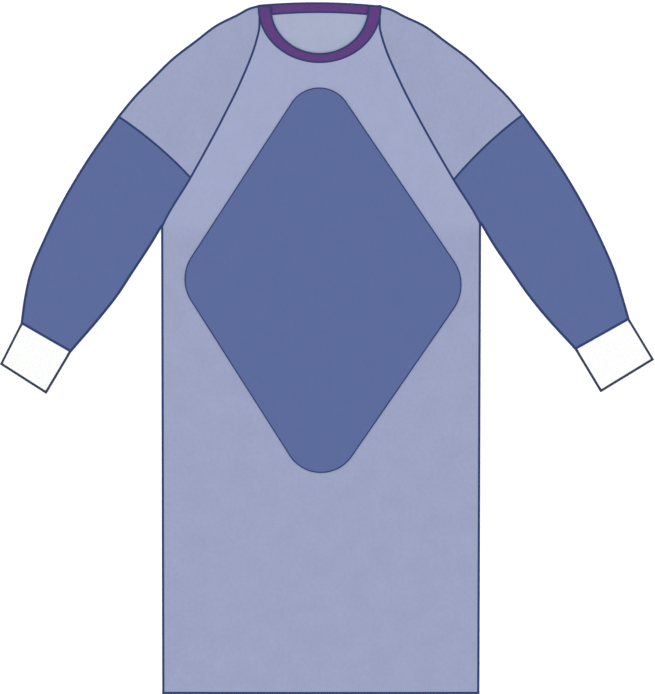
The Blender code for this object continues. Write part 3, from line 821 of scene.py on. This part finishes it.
def upper_sleeve(side):
    """The two faces of an upper sleeve as grids, neck to lower sleeve, round the arm from seam to seam."""
    sign = SIDES[side]
    front_seam, back_seam = (raglan_line(side, back)[:REINFORCED + 1] for back in (False, True))
    shoulder = spread(traced(SHOULDER[side]), shares_of(front_seam))
    outward = unit(shoulder - front_seam)
    radius = np.full(len(shoulder), FOLD_HEIGHT / 2)
    turn = shoulder - outward * radius[:, None]
    neck = np.vstack([neck_line(NECK_OUTER, np.linspace(RAGLAN_DEG, 0, TRACE_STEPS), sign), turn[:1]])
    neck = spread(neck, np.linspace(0, 1, SLEEVE_STEPS + 1))
    across = cross_seam(front_seam[-1], turn[-1], SLEEVE_STEPS)
    upper = patch(neck, across, front_seam, turn)
    lower = patch(straight(back_seam[0], turn[0], SLEEVE_STEPS), across, back_seam, turn)

    share = np.linspace(0, 1, SLEEVE_STEPS + 1)[None]
    seam_top = front_floor(mirrored(front_seam, sign)) + CLOTH
    loft = SLEEVE_LOFT * smooth(shares_of(front_seam) * 2)
    top = layer_height(seam_top, radius * 2, share, loft) + sleeve_waves(upper, share, side)
    under = back_floor(mirrored(back_seam, sign), side)[:, None] * (1 - smooth(share))
    faces = [np.concatenate([stand(upper, top - depth), fold(turn, outward, radius * 2, radius - depth),
                             stand(lower, under + depth)[:, ::-1]], axis=1) for depth in FACES]
    return [mirrored(face, sign) for face in faces]


upper_faces = {side: upper_sleeve(side) for side in SIDES}
for side, faces in upper_faces.items():
    replace(f"sleeve_upper_{side}", "cloth", sheet(*faces), light_cloth)


# %% [markdown]
# The grid of a lower sleeve goes all the way round the arm. Beside the raglan seam, where it is still open
# and sewn to the body, the cells of its underarm fold are left out.

# %% Lower sleeves
def round_the_arm(upper, tops, unders, heights, depths):
    """Grids that go right round a flattened tube: upper layer, fold, layer beneath, underarm fold."""
    near, far = heights
    outward = unit(upper[:, -1] - upper[:, 0])
    return [np.concatenate([stand(upper, top), fold(upper[:, -1], outward, far, far / 2 - depth),
                            stand(upper, under)[:, ::-1],
                            fold(upper[:, 0], -outward, near, near / 2 - depth)[:, ::-1]], axis=1)
            for top, under, depth in zip(tops, unders, depths)]


def lower_sleeve(side):
    """Both faces, the cells that exist, and the thickness at the underarm edge, row by row."""
    sign = SIDES[side]
    seam = raglan_line(side)[REINFORCED:]
    sewn = len(seam) - 1
    edge = np.vstack([seam, spread(traced(UNDERARM[side]), np.linspace(0, 1, FOREARM_STEPS + 1))[1:]])
    arm = spread(traced(FOREARM[side]), shares_of(edge))
    outward = unit(arm - edge)
    sewn_top = front_floor(mirrored(seam, sign)) + CLOTH
    ease = smooth(np.arange(1, FOREARM_STEPS + 1) / (FOREARM_STEPS / 2))
    near = np.concatenate([sewn_top, sewn_top[-1] + (FOLD_HEIGHT - sewn_top[-1]) * ease])
    far = np.full(len(edge), FOLD_HEIGHT)
    is_fold = np.arange(len(edge)) >= sewn
    start = edge + outward * (np.where(is_fold, near / 2, 0) + SEAM_GAP / 2)[:, None]
    turn = arm - outward * far[:, None] / 2
    upper = patch(cross_seam(start[0], turn[0], SLEEVE_STEPS), straight(start[-1], turn[-1], SLEEVE_STEPS),
                  start, turn)
    share = np.linspace(0, 1, SLEEVE_STEPS + 1)[None]
    loft = SLEEVE_LOFT + (WRIST_LOFT - SLEEVE_LOFT) * smooth(shares_of(edge) * 2 - 1)
    top = layer_height(near, far, share, loft) + sleeve_waves(upper, share, side)
    faces = round_the_arm(upper, [top - depth for depth in FACES], FACES, (near, far), FACES)
    kept = np.ones((len(edge) - 1, faces[0].shape[1]), bool)
    kept[:sewn, -FOLD_STEPS:] = False
    return [mirrored(face, sign) for face in faces], kept, near[sewn:]


underarm_height = {}
for side in SIDES:
    faces, kept, underarm_height[side] = lower_sleeve(side)
    replace(f"sleeve_lower_{side}", "cloth", sheet(*faces, closed=True, kept=kept), dark_cloth)

# %% [markdown]
# ## Cuffs
#
# The cuffs are rib knit: columns of stitches that stand up, with columns that lie back between them, which
# is what makes a cuff elastic. The ribs are waves in the mesh, and each stitch is a chevron in the finish.
# The UV map of a cuff counts half ribs round the wrist, so that every chevron sits on its own rib.

# %% Ribbed cuffs
CUFF_ROWS = 20
RIB_POINTS = 4               # grid points to half a rib
RIB_FLAT = 4.2 * MM          # ribs are pressed flat this far from either end, under the thread
RIB_FADE = 5 * MM            # and rise to their full height over this length
FOLD_FADE = 1.5              # beside a fold they rise over this many ribs
FOLD_COUNT = 3               # half ribs round a fold
KNIT_TRIM = 0.3 * MM         # the raw end lies this far inside the thread's


def cuff(side):
    """Both faces, the UV map and the plain middle line of the wall at the open end."""
    wrist = metres(FOREARM[side])[-1], metres(UNDERARM[side])[-1]
    arm, edge = (straight(a, b, CUFF_ROWS) for a, b in zip(wrist, metres(CUFF_END[side])))
    for row in (arm, edge):
        row[-1] -= unit(row[-1] - row[-2]) * KNIT_TRIM
    outward = unit(arm - edge)
    height = np.full(CUFF_ROWS + 1, CUFF_HEIGHT)
    half = 2 * RIBS
    share = np.linspace(0, 1, half * RIB_POINTS + 1)
    start, turn = edge + outward * CUFF_HEIGHT / 2, arm - outward * CUFF_HEIGHT / 2
    upper = (1 - share[:, None]) * start[:, None] + share[:, None] * turn[:, None]
    along = run((arm + edge) / 2)
    held = smooth((np.minimum(along, along[-1] - along) - RIB_FLAT) / RIB_FADE)
    flank = smooth(np.minimum(share, 1 - share) * RIBS / FOLD_FADE)
    crest = held[:, None] * flank[None] * (0.5 - 0.5 * np.cos(2 * np.pi * RIBS * share)[None])
    tops = (CUFF_HEIGHT - SKIN + RIB * crest, CUFF_HEIGHT - KNIT + SKIN)
    unders = (SKIN * (1 - crest), KNIT - SKIN)
    faces = round_the_arm(upper, tops, unders, (height, height), (SKIN, KNIT - SKIN))
    count = np.concatenate([
        np.linspace(0, half, len(share)), np.linspace(half, half + FOLD_COUNT, FOLD_STEPS + 1)[1:-1],
        np.linspace(half + FOLD_COUNT, 2 * half + FOLD_COUNT, len(share)),
        np.linspace(2 * half + FOLD_COUNT, 2 * half + 2 * FOLD_COUNT, FOLD_STEPS + 1)[1:]]) - 0.5
    uv = np.stack(np.broadcast_arrays(count[None], along[:, None]), axis=-1)
    ends = round_the_arm(upper[-2:], [CUFF_HEIGHT - KNIT / 2], [KNIT / 2],
                         (height[-2:], height[-2:]), [KNIT / 2])[0]
    return [mirrored(face, SIDES[side]) for face in faces], uv, mirrored(ends, SIDES[side])


cuff_faces, cuff_ends = {}, {}
for side in SIDES:
    faces, uv, cuff_ends[side] = cuff(side)
    cuff_faces[side] = faces[0]
    replace(f"cuff_{side}", "knit", sheet(*faces, closed=True, uv=uv), white_knit, sharp=70)

# %% [markdown]
# ## Neck binding
#
# The raw neckline is closed in a folded tape. It is thickest along its middle and thin at its two edges,
# so its section is the middle of the wall plus and minus a rounded thickness. At the front it follows
# the two half ellipses of the neck, and at the back each half carries its own stretch.

# %% Bound neck
TAPE_STEPS = 12              # across the tape
TAPE_EDGE = 0.08             # square of the share of its thickness that is left at an edge
NECK_SIDE_STEPS = 12


def taped(outer, inner, floor):
    """A tape between two lines: half its thickness falls off as the root of 1 - (distance from middle)^6."""
    t = np.linspace(0, 1, TAPE_STEPS + 1)
    plan = (1 - t[:, None, None]) * outer[None] + t[:, None, None] * inner[None]
    middle = floor(plan) + TAPE / 2
    half = (TAPE / 2 - SKIN) * np.sqrt(np.maximum(1 - np.abs(2 * t - 1) ** 6, TAPE_EDGE))[:, None]
    return sheet(stand(plan, middle + half), stand(plan, middle - half))


def neck_edge(radii):
    """One edge of the front binding, from its top left to its top right."""
    side = np.linspace(0, RAGLAN_DEG, NECK_SIDE_STEPS + 1)
    degrees = np.concatenate([180 - side, np.linspace(180 - RAGLAN_DEG, RAGLAN_DEG, NECK_STEPS + 1)[1:-1],
                              side[::-1]])
    tops = np.array([[NECK_ACROSS - radii[0], CORNER_UP], [NECK_ACROSS + radii[0], CORNER_UP]])
    return np.vstack([tops[:1], neck_line(radii, degrees), tops[1:]])


def binding_floor(plan):
    """Underside of the front binding's wall."""
    return front_floor(plan) - (TAPE - CLOTH) / 2


def back_band(side):
    """Lower and upper edge of the binding on a back half."""
    return [mirrored(back_neckline(side, arch), SIDES[side]) for arch in (BACK_LOWER, BACK_UPPER)]


outer, inner = neck_edge(NECK_OUTER), neck_edge(NECK_INNER)
replace("neck_binding_front", "tape", taped(outer, inner, binding_floor), purple_tape)
for side in SIDES:
    band = taped(*back_band(side), lambda plan: back_floor(plan, side))
    replace(f"neck_binding_back_{side}", "tape", band, purple_tape)

# %% [markdown]
# ## Overlock thread
#
# The panels are joined and their edges finished on an overlock machine, which wraps navy thread over the
# edge in slanting stitches. From a step away that is a dark line 4 mm wide round every piece. Close up
# it is a soft rope.
#
# Each seam is a closed section carried along a path. Two sections are enough: a flat dome that covers two
# edges which meet, and a hook that wraps an edge or a fold. The thread's rise is a cosine of the distance
# along the seam, shifted with the distance round the section, and that shift gives the slant.

# %% Sections
SEAM_WIDTH = 4.0 * MM        # where two edges meet
EDGE_WIDTH = 4.7 * MM        # over an edge or a fold
STITCH = 3.2 * MM            # one wrap of the thread along the seam
SLANT = 0.8                  # how far a wrap runs on, for each unit round the section
RELIEF = 0.14 * MM           # depth between two wraps
RINGS = 4                    # grid points to one wrap
SUNK = 0.35 * MM             # how deep a flat seam's underside lies in the cloth
DEEP = 0.8 * MM              # the same, where it also closes a gap
HOOK_WALL = 0.36 * MM        # how thick the thread is where it goes round an edge
HOOK_DIP = 0.05 * MM         # its two ends lie this far inside the cloth's face
HOOK_FLAT = 0.85             # and from this share of its width on it has its full height
DOME_POINTS, BEND_POINTS = 7, 5
UP = np.array([0, 0, 1])

Section = namedtuple("Section", "line swell low")


def dome(width, sunk):
    """Flat seam: an arc of sines and cosines above, and a straight line sunk into the cloth below."""
    turn = np.radians(np.linspace(-90, 90, DOME_POINTS))
    over = np.column_stack([np.sin(turn) * width / 2, np.cos(turn) * SKIN])
    under = np.column_stack([over[::-1, 0], np.full(DOME_POINTS, -sunk)])
    lift = np.concatenate([np.cos(turn) ** 0.5, np.zeros(DOME_POINTS)])
    return Section(np.vstack([over, under])[None], np.column_stack([0 * lift, lift]), 0 * lift)


def hook(radius, width, depth=None):
    """Thread over an edge at 0: flats at +radius and -radius, joined by half an ellipse about -depth."""
    radius, width = (row[:, None] for row in np.broadcast_arrays(np.atleast_1d(radius), width))
    depth = radius if depth is None else np.full_like(radius, depth)
    bend = np.radians(np.linspace(90, -90, BEND_POINTS))

    def bow(inside, sunk):
        """The hook's line at a depth inside its outer one, with both ends sunk by a little more."""
        r = radius - inside
        flats = -width * [1, HOOK_FLAT]
        height = np.concatenate([r - sunk, r], axis=1)
        arc = np.stack([-depth + (depth - inside) * np.cos(bend), r * np.sin(bend)], axis=-1)
        over, under = np.stack([flats, height], -1), np.stack([flats, -height], -1)
        return np.concatenate([over, arc, under[:, ::-1]], axis=1)

    line = np.concatenate([bow(0, SKIN + HOOK_DIP), bow(HOOK_WALL, 0)[:, ::-1]], axis=1)
    turn = np.radians([90, 90, *np.linspace(90, -90, BEND_POINTS), -90, -90])
    swell = np.column_stack([np.cos(turn), np.sin(turn)])
    swell[[0, -1]] = 0
    still = 0 * turn
    return Section(line, np.vstack([swell, np.outer(still, [0, 0])]),
                   np.concatenate([smooth(-turn, 0, np.pi / 2), still]))


# %% Carrying a section along a path
def along_path(values, at, stops):
    """Rows of values at new stops along a path."""
    flat = values.reshape(len(values), -1)
    picked = np.column_stack([np.interp(stops, at, column) for column in flat.T])
    return picked.reshape((len(stops),) + values.shape[1:])


def thread(path, across, up, section, ring=False, stitch=STITCH):
    """Thread along a path: path + across * x + up * y over its section, raised by relief * (wrap - low)."""
    across, up = (np.broadcast_to(v, path.shape) for v in (across, up))
    at = run(path)
    wraps = max(4, round(at[-1] / stitch))
    stops = np.linspace(0, at[-1], wraps * RINGS + 1)
    line = np.broadcast_to(section.line, (len(path),) + section.line.shape[1:])
    path, across, up, line = (along_path(v, at, stops) for v in (path, across, up, line))
    across, up = unit(across), unit(up)
    around = run(np.vstack([section.line[0], section.line[0][:1]]))
    wrap = 0.5 + 0.5 * np.cos(2 * np.pi * wraps / at[-1] * (stops[:, None] - SLANT * around[None, :-1]))
    low = np.maximum(section.low[None], np.clip(-up[:, 2:], 0, 1))
    line = line + RELIEF * (wrap - low)[..., None] * section.swell[None]
    grid = path[:, None] + across[:, None] * line[..., :1] + up[:, None] * line[..., 1:]
    if ring:
        grid = grid[:-1]

    count, size = grid.shape[:2]
    index = np.arange(count * size).reshape(count, size)
    index = np.hstack([index, index[:, :1]])
    index = np.vstack([index, index[:1]]) if ring else index
    marks = np.stack(np.meshgrid(around, stops)[::-1], axis=-1)
    faces, uv = cells_of(index).reshape(-1, 4), cells_of(marks).reshape(-1, 4, 2)
    if not ring:             # close both ends with cells from the outer line to the inner one
        j = np.arange(size // 2 - 1)
        cap = np.stack([j, j + 1, size - 2 - j, size - 1 - j], axis=1)
        faces = np.vstack([faces, cap[:, ::-1], cap + (count - 1) * size])
        uv = np.concatenate([uv, marks[0][cap[:, ::-1]], marks[-1][cap]])
    return Surface(grid.reshape(-1, 3), faces, uv)


# %% Seams in plan
def ring_of(row):
    """A row of points with its first one once more at the end."""
    return np.vstack([row, row[:1]])


def heading(line, ring=False):
    """Vectors along a line, each from the point before to the one after, also where a ring closes."""
    along = np.gradient(line, axis=0)
    if ring:
        along[0] = along[-1] = line[1] - line[-2]
    return along


def beside(line, ring=False):
    """Unit vectors square to a line in plan, on its right hand."""
    along = heading(line[:, :2], ring)
    return unit(np.column_stack([along[:, 1], -along[:, 0], np.zeros(len(line))]))


def upright(line, across, ring, top):
    """Unit vectors square to a line and to across, on the side that is up at the line's point top."""
    up = unit(np.cross(heading(line, ring), across))
    return up * np.sign(up[top, 2])


def flat_seam(plan, height, up=1, width=SEAM_WIDTH, sunk=SUNK):
    """Thread over two edges that meet along a line in plan."""
    path = stand(plan, height)
    return thread(path, beside(path), UP * up, dome(width, sunk))


def wrapped_edge(plan, floor, thick, outward, width=EDGE_WIDTH, depth=None, proud=0, **options):
    """Thread over an edge or fold of cloth that lies on floor. outward is 1 for the line's right hand."""
    path = stand(plan, floor + thick / 2)
    across = beside(path, options.get("ring", False)) * outward
    return thread(path + across * proud, across, UP, hook(thick / 2, width, depth), **options)


# %% Thread on the body
HEM_PROUD = 0.6 * MM         # the hem's thread stands this far out from the cut edge
BACK_HEM_SHORT = 2 * MM      # on the back it ends this far before the side
SIDE_SEAM = 4.3 * MM
SIDE_THICK = 2 * CLOTH + SEAM_GAP
SIDE_PAST = 0.8 * SEAM_WIDTH  # the side's thread runs this far past the underarm
ROUND = 0.5 * MM             # how far the thread bulges out round a cut edge
PROUD = 0.2 * MM             # other threads lie this far outside a raw edge, or inside a covered one
LAP_STITCH = 6 * MM
UNDER_BINDING = 6.5 * MM     # the raglan seam's thread starts this far into the binding
LEAD = np.array([[UNDER_BINDING], [UNDER_BINDING / 2]])

hem = straight((-HEM_HALF, 0), (HEM_HALF, 0), NECK_STEPS)
body_thread = [wrapped_edge(hem, front_floor(hem), CLOTH, 1, proud=HEM_PROUD)]
back_thread, lap_thread = [], []
for side, sign in SIDES.items():
    corner = metres(RAGLAN[side])[-1]
    past = corner + unit(corner - [HEM_HALF, 0]) * SIDE_PAST
    edge = mirrored(straight((HEM_HALF, 0), past, SIDE_STEPS), sign)
    seam = raglan_line(side)
    seam = mirrored(np.vstack([seam[0] - unit(seam[1] - seam[0]) * LEAD, seam]), sign)
    height = front_floor(seam) + CLOTH - SKIN
    height[0] -= CLOTH       # its end dips out of sight
    body_thread += [wrapped_edge(edge, 0, SIDE_THICK, sign, SIDE_SEAM, depth=ROUND, proud=-PROUD),
                    flat_seam(seam, height)]

    seam = mirrored(raglan_line(side, back=True), sign)
    hem = mirrored(straight((-LAP, 0), (HEM_HALF - BACK_HEM_SHORT, 0), BACK_STEPS), sign)
    back_thread += [flat_seam(seam, back_floor(seam, side) + SKIN, up=-1),
                    wrapped_edge(hem, back_floor(hem, side), CLOTH, sign, proud=HEM_PROUD / 2)]
    edge = mirrored(straight((-LAP, 0), back_neckline(side)[0], SIDE_STEPS), sign)
    lap_thread.append(wrapped_edge(edge, back_floor(edge, side), CLOTH, -sign, proud=PROUD,
                                   stitch=LAP_STITCH))
front_overlock = make_piece("front_overlock", body_thread, navy_thread)
back_overlock = make_piece("back_overlock", back_thread, navy_thread)
lap_overlock = make_piece("back_opening_overlock", lap_thread, pale_thread)

# %% Thread round the chest panel
PANEL_SEAM = 2.1 * MM
PANEL_HOOK = 1.4 * MM        # reaches down to the front, and closes the panel's edge against it
PANEL_TOP = CLOTH + SEAM_GAP + PANEL_CLOTH + HOOK_DIP
outline = np.vstack([line[:-1] for line in PANEL_SIDES] + [PANEL_SIDES[0][:1]])
panel_overlock = make_piece("chest_panel_overlock", wrapped_edge(
    outline, front_floor(outline) + PANEL_TOP - PANEL_HOOK, PANEL_HOOK, 1, PANEL_SEAM, proud=-PROUD,
    ring=True), navy_thread)

# %% [markdown]
# Round the arm the paths come from the pieces' own grids. The last row of the upper sleeve is the seam
# where the two colours meet, and the cuff's first row is where it is sewn on. The two folds are overlocked
# from neck to wrist, and the white cuffs have a darker thread of their own.

# %% Thread on the sleeves
CUFF_SEAM = 4.8 * MM
CUFF_END_SEAM = 4.5 * MM
CUFF_PROUD = 0.35 * MM       # the thread at the open end stands this far out from the knit
WRIST_SEAM = 4.5 * MM
WRIST_BACK = 1.85 * MM       # the wrist seam's middle lies this far up the sleeve from the cuff
CROTCH = 9 * MM              # the underarm's thread starts this far up the raglan seam
CROTCH_SHARES = np.array([1, 2 / 3, 1 / 3])    # where it is still beside that seam, and narrower
CROTCH_ASIDE = 0.47 * SEAM_WIDTH


def round_seam(face, ring, back=0, sunk=SUNK, width=SEAM_WIDTH):
    """Thread round the arm over the last row of a grid: up is along x across, turned outwards."""
    path, before = face[-1], face[-2]
    path = path - unit(path - before) * back
    if ring:
        path, before = ring_of(path), ring_of(before)
    across = unit(path - before)
    return thread(path, across, upright(path, across, ring, SLEEVE_STEPS // 2), dome(width, sunk), ring)


def underarm_thread(side):
    """Thread along the underarm. It starts beside the raglan seam and moves over as it widens."""
    seam = raglan_line(side)
    along = unit(seam[-1] - seam[-2])
    lead = spread(seam, 1 - CROTCH * CROTCH_SHARES / run(seam)[-1])
    lead = lead + np.array([along[1], -along[0]]) * (CROTCH_ASIDE * CROTCH_SHARES)[:, None]
    line = np.vstack([lead, spread(traced(UNDERARM[side]), np.linspace(0, 1, FOREARM_STEPS + 1))])
    aside = np.concatenate([CROTCH_SHARES, np.zeros(len(line) - len(lead))])
    thick = np.concatenate([underarm_height[side][:1].repeat(len(lead)), underarm_height[side]])
    return wrapped_edge(mirrored(line, SIDES[side]), 0, thick, SIDES[side],
                        EDGE_WIDTH - (EDGE_WIDTH - SEAM_WIDTH) * aside)


sleeve_threads, cuff_threads = {}, {}
for side, sign in SIDES.items():
    arm = np.vstack([traced(SHOULDER[side]), traced(FOREARM[side])[1:]])
    sleeve_threads[side] = make_piece(f"sleeve_{side}_overlock", [
        wrapped_edge(mirrored(arm, sign), 0, FOLD_HEIGHT, -sign),
        underarm_thread(side),
        round_seam(upper_faces[side][0], ring=False),
        round_seam(cuff_faces[side][::-1], ring=True, back=-WRIST_BACK, sunk=DEEP, width=WRIST_SEAM),
    ], navy_thread)

    threads = []
    for line, knot, outward in zip((FOREARM, UNDERARM), CUFF_END[side], (-sign, sign)):
        row = straight(metres(line[side])[-1], metres(knot), CUFF_ROWS)
        threads.append(wrapped_edge(mirrored(row, sign), 0, CUFF_HEIGHT, outward, CUFF_SEAM))
    end, inside = (ring_of(cuff_ends[side][row]) for row in (-1, -2))
    end = end + unit(end - inside) * CUFF_PROUD
    threads.append(thread(end, end - inside, upright(end, end - inside, True, RIBS),
                          hook(KNIT / 2, CUFF_END_SEAM, depth=ROUND / 2), ring=True))
    cuff_threads[side] = make_piece(f"cuff_{side}_overlock", threads, cuff_thread)

# %% [markdown]
# The binding has navy thread along both edges, and one row of lockstitch in its own colour down the
# middle. A lockstitch shows as short grains of thread with a gap between them. Each grain is a small
# closed form of a few dozen faces, and all of them are worked out in one array.

# %% Thread on the binding
NECK_SEAM = 3.4 * MM
TAPE_SKIN = TAPE - SKIN
EDGE_INSET = 0.04            # the seam on the binding's outer edge lies this share of its width inside
END_THICK = TAPE + 0.2 * MM  # what the thread over the front binding's two top ends goes round
END_STEPS = 6
edge = outer + (inner - outer) * EDGE_INSET
neck_thread = [flat_seam(edge, binding_floor(edge) + TAPE_SKIN, width=NECK_SEAM, sunk=DEEP),
               wrapped_edge(inner, binding_floor(inner), TAPE, -1, NECK_SEAM)]
for side, sign in SIDES.items():
    lower, upper = back_band(side)
    neck_thread += [flat_seam(lower, back_floor(lower, side) + TAPE_SKIN, width=NECK_SEAM),
                    flat_seam(lower, back_floor(lower, side) + SKIN, up=-1, width=NECK_SEAM),
                    wrapped_edge(upper, back_floor(upper, side), TAPE, -sign, NECK_SEAM)]
for left, right in ((outer[0], inner[0]), (inner[-1], outer[-1])):    # the front binding's two top ends
    floor = binding_floor((left + right) / 2) - (END_THICK - TAPE) / 2
    neck_thread.append(wrapped_edge(straight(left, right, END_STEPS), floor, END_THICK, -1, NECK_SEAM))
neck_overlock = make_piece("neck_overlock", neck_thread, navy_thread)


# %% Lockstitch on the binding
LOCKSTITCH = 3.4 * MM        # from one grain of thread to the next
GRAIN_LENGTH = 2.5 * MM
GRAIN_WIDTH = 0.55 * MM
GRAIN_REACH = 0.96           # share of its half length at which a grain is closed
GRAIN_RINGS, GRAIN_SIDES = 5, 6
GRAIN_CAP = np.array([[0, 1, 4, 5], [1, 2, 3, 4]])    # two quads that close six sides


def lockstitch(plan, height):
    """Grains of thread along a line: round sections that shrink as the root of 1 - (share of length)^2."""
    path = stand(plan, height)
    at = run(path)
    middles = np.arange(LOCKSTITCH, at[-1] - LOCKSTITCH / 2, LOCKSTITCH)
    centre, side = (along_path(v, at, middles) for v in (path, beside(path)))
    forward = np.column_stack([-side[:, 1], side[:, 0], side[:, 2]])
    share = np.linspace(-GRAIN_REACH, GRAIN_REACH, GRAIN_RINGS)[:, None]
    angle = np.linspace(0, 2 * np.pi, GRAIN_SIDES, endpoint=False)
    size = np.sqrt(1 - share**2)
    grain = size[..., None] * np.stack([np.cos(angle), np.sin(angle)], axis=-1) * GRAIN_WIDTH / 2
    points = (centre[:, None, None] + forward[:, None, None] * share[None, ..., None] * GRAIN_LENGTH / 2
              + side[:, None, None] * grain[None, ..., :1] + UP * grain[None, ..., 1:])
    count = GRAIN_RINGS * GRAIN_SIDES
    index = np.arange(count).reshape(GRAIN_RINGS, GRAIN_SIDES)
    wall = cells_of(np.hstack([index, index[:, :1]])).reshape(-1, 4)
    faces = np.vstack([wall, GRAIN_CAP[:, ::-1], GRAIN_CAP + count - GRAIN_SIDES])
    faces = (faces[None] + count * np.arange(len(middles))[:, None, None]).reshape(-1, 4)
    marks = np.stack([share * GRAIN_LENGTH + 0 * angle, size * 0 + angle * GRAIN_WIDTH], axis=-1)
    marks = np.tile(marks.reshape(count, 2), (len(middles), 1))
    return Surface(points.reshape(-1, 3), faces, marks[faces])


front_middle, back_middle = (outer + inner) / 2, sum(back_band("left")) / 2
neck_stitches = make_piece("neck_lockstitch", [
    lockstitch(front_middle, binding_floor(front_middle) + TAPE_SKIN),
    lockstitch(back_middle, back_floor(back_middle, "left") + TAPE_SKIN)], purple_thread)

# %% [markdown]
# ## What each sheet was cut to
#
# A sheet of cloth has a size that it was cut to, and it hardly stretches. Here every piece states that
# size. A sleeve or cuff is stated all round the arm.

# %% Sheets
CUFF_CUT = {"left": (0.206, 0.087, 0.0178), "right": (0.230, 0.088, 0.0201)}


def cut(node, width, length, area, on, sewn=(), slot="nonwoven_light"):
    """States a sheet's cut in metres. Its finish is not used."""
    print(f"{node}: cut {width:.3f} x {length:.3f} m, {area:.4f} m2")


cut("front", 0.578, 1.219, 0.613, ["back_left_cloth", "back_right_cloth"], [front_overlock])
cut("back_left", 0.389, 1.232, 0.437, ["back_right_cloth"], [back_overlock, lap_overlock])
cut("back_right", 0.389, 1.232, 0.437, ["floor"])
cut("chest_panel", 0.504, 0.698, 0.209, ["front_cloth"], [panel_overlock], "nonwoven_reinforced")
for side in SIDES:
    cut(f"sleeve_upper_{side}", 0.345, 0.330, 0.073, ["floor"])
    cut(f"sleeve_lower_{side}", 0.345, 0.470, 0.131, ["floor"], [sleeve_threads[side]],
        "nonwoven_reinforced")
    cut(f"cuff_{side}", *CUFF_CUT[side], ["floor"], [cuff_threads[side]], "knit_white")
    cut(f"neck_binding_back_{side}", 0.0195, 0.211, 0.0038, [f"back_{side}_cloth"], slot="binding_purple")
cut("neck_binding_front", 0.023, 0.330, 0.0061, ["front_cloth"], [neck_overlock, neck_stitches],
    "binding_purple")

# %% [markdown]
# ## Studio
#
# The gown is seen from straight above, so the camera looks down along Z from six metres with a long
# lens, which keeps the thin layers free of perspective. An even white sky lights it, with one wide soft lamp
# from the upper left to give thread and ribs a little relief. The floor is a light table: it glows a
# little, so it stays white right up to the cloth and shows no shadow round it.

# %% Floor and light
WHITE = (1.0, 1.0, 1.0, 1.0)
FLOOR_HALF = 8.0             # metres
FLOOR_DOWN = 0.3 * MM        # below the gown's underside

floor_white = bpy.data.materials.new("floor_white")
floor_white.use_nodes = True
shader = floor_white.node_tree.nodes["Principled BSDF"].inputs
for name, value in {"Base Color": (0.93, 0.93, 0.93, 1.0), "Roughness": 0.8, "Specular IOR Level": 0.1,
                    "Emission Color": WHITE, "Emission Strength": 0.4}.items():
    shader[name].default_value = value
floor_mesh = bpy.data.meshes.new("floor")
floor_mesh.from_pydata([(x * FLOOR_HALF, y * FLOOR_HALF, -FLOOR_DOWN)
                        for x, y in ((-1, -1), (1, -1), (1, 1), (-1, 1))], [], [(0, 1, 2, 3)])
floor_mesh.materials.append(floor_white)
floor = placed("floor", floor_mesh)

world = bpy.data.worlds.new("even_sky")
world.use_nodes = True
sky = world.node_tree.nodes["Background"].inputs
sky["Color"].default_value = WHITE
sky["Strength"].default_value = 0.95
bpy.context.scene.world = world

lamp = bpy.data.lights.new("wide_lamp", "SUN")
lamp.energy = 0.45
lamp.angle = math.radians(50)
placed("wide_lamp", lamp).rotation_euler = (math.radians(-32), math.radians(-34), 0)
bpy.context.scene.view_settings.view_transform = "Standard"

# %% [markdown]
# The lens is worked out, not tried: at that height the picture takes in as many pixels as it is high, each
# of a known size on the table.

# %% Camera
PICTURE = (655, 694)         # size of the picture in pixels
SCALE = 1.8074 * MM          # one pixel on the table
EYE = 6.0                    # metres above the table
SENSOR = 36.0
VIEW_CENTRE = (0.9 * MM, 1.95 * MM)

camera = bpy.data.cameras.new("camera")
camera.type = "PERSP"
camera.sensor_width = SENSOR
camera.lens = SENSOR * EYE / (PICTURE[1] * SCALE)
camera.clip_end = 100
camera_object = placed("camera", camera)
camera_object.location = (*VIEW_CENTRE, EYE)
bpy.context.scene.camera = camera_object
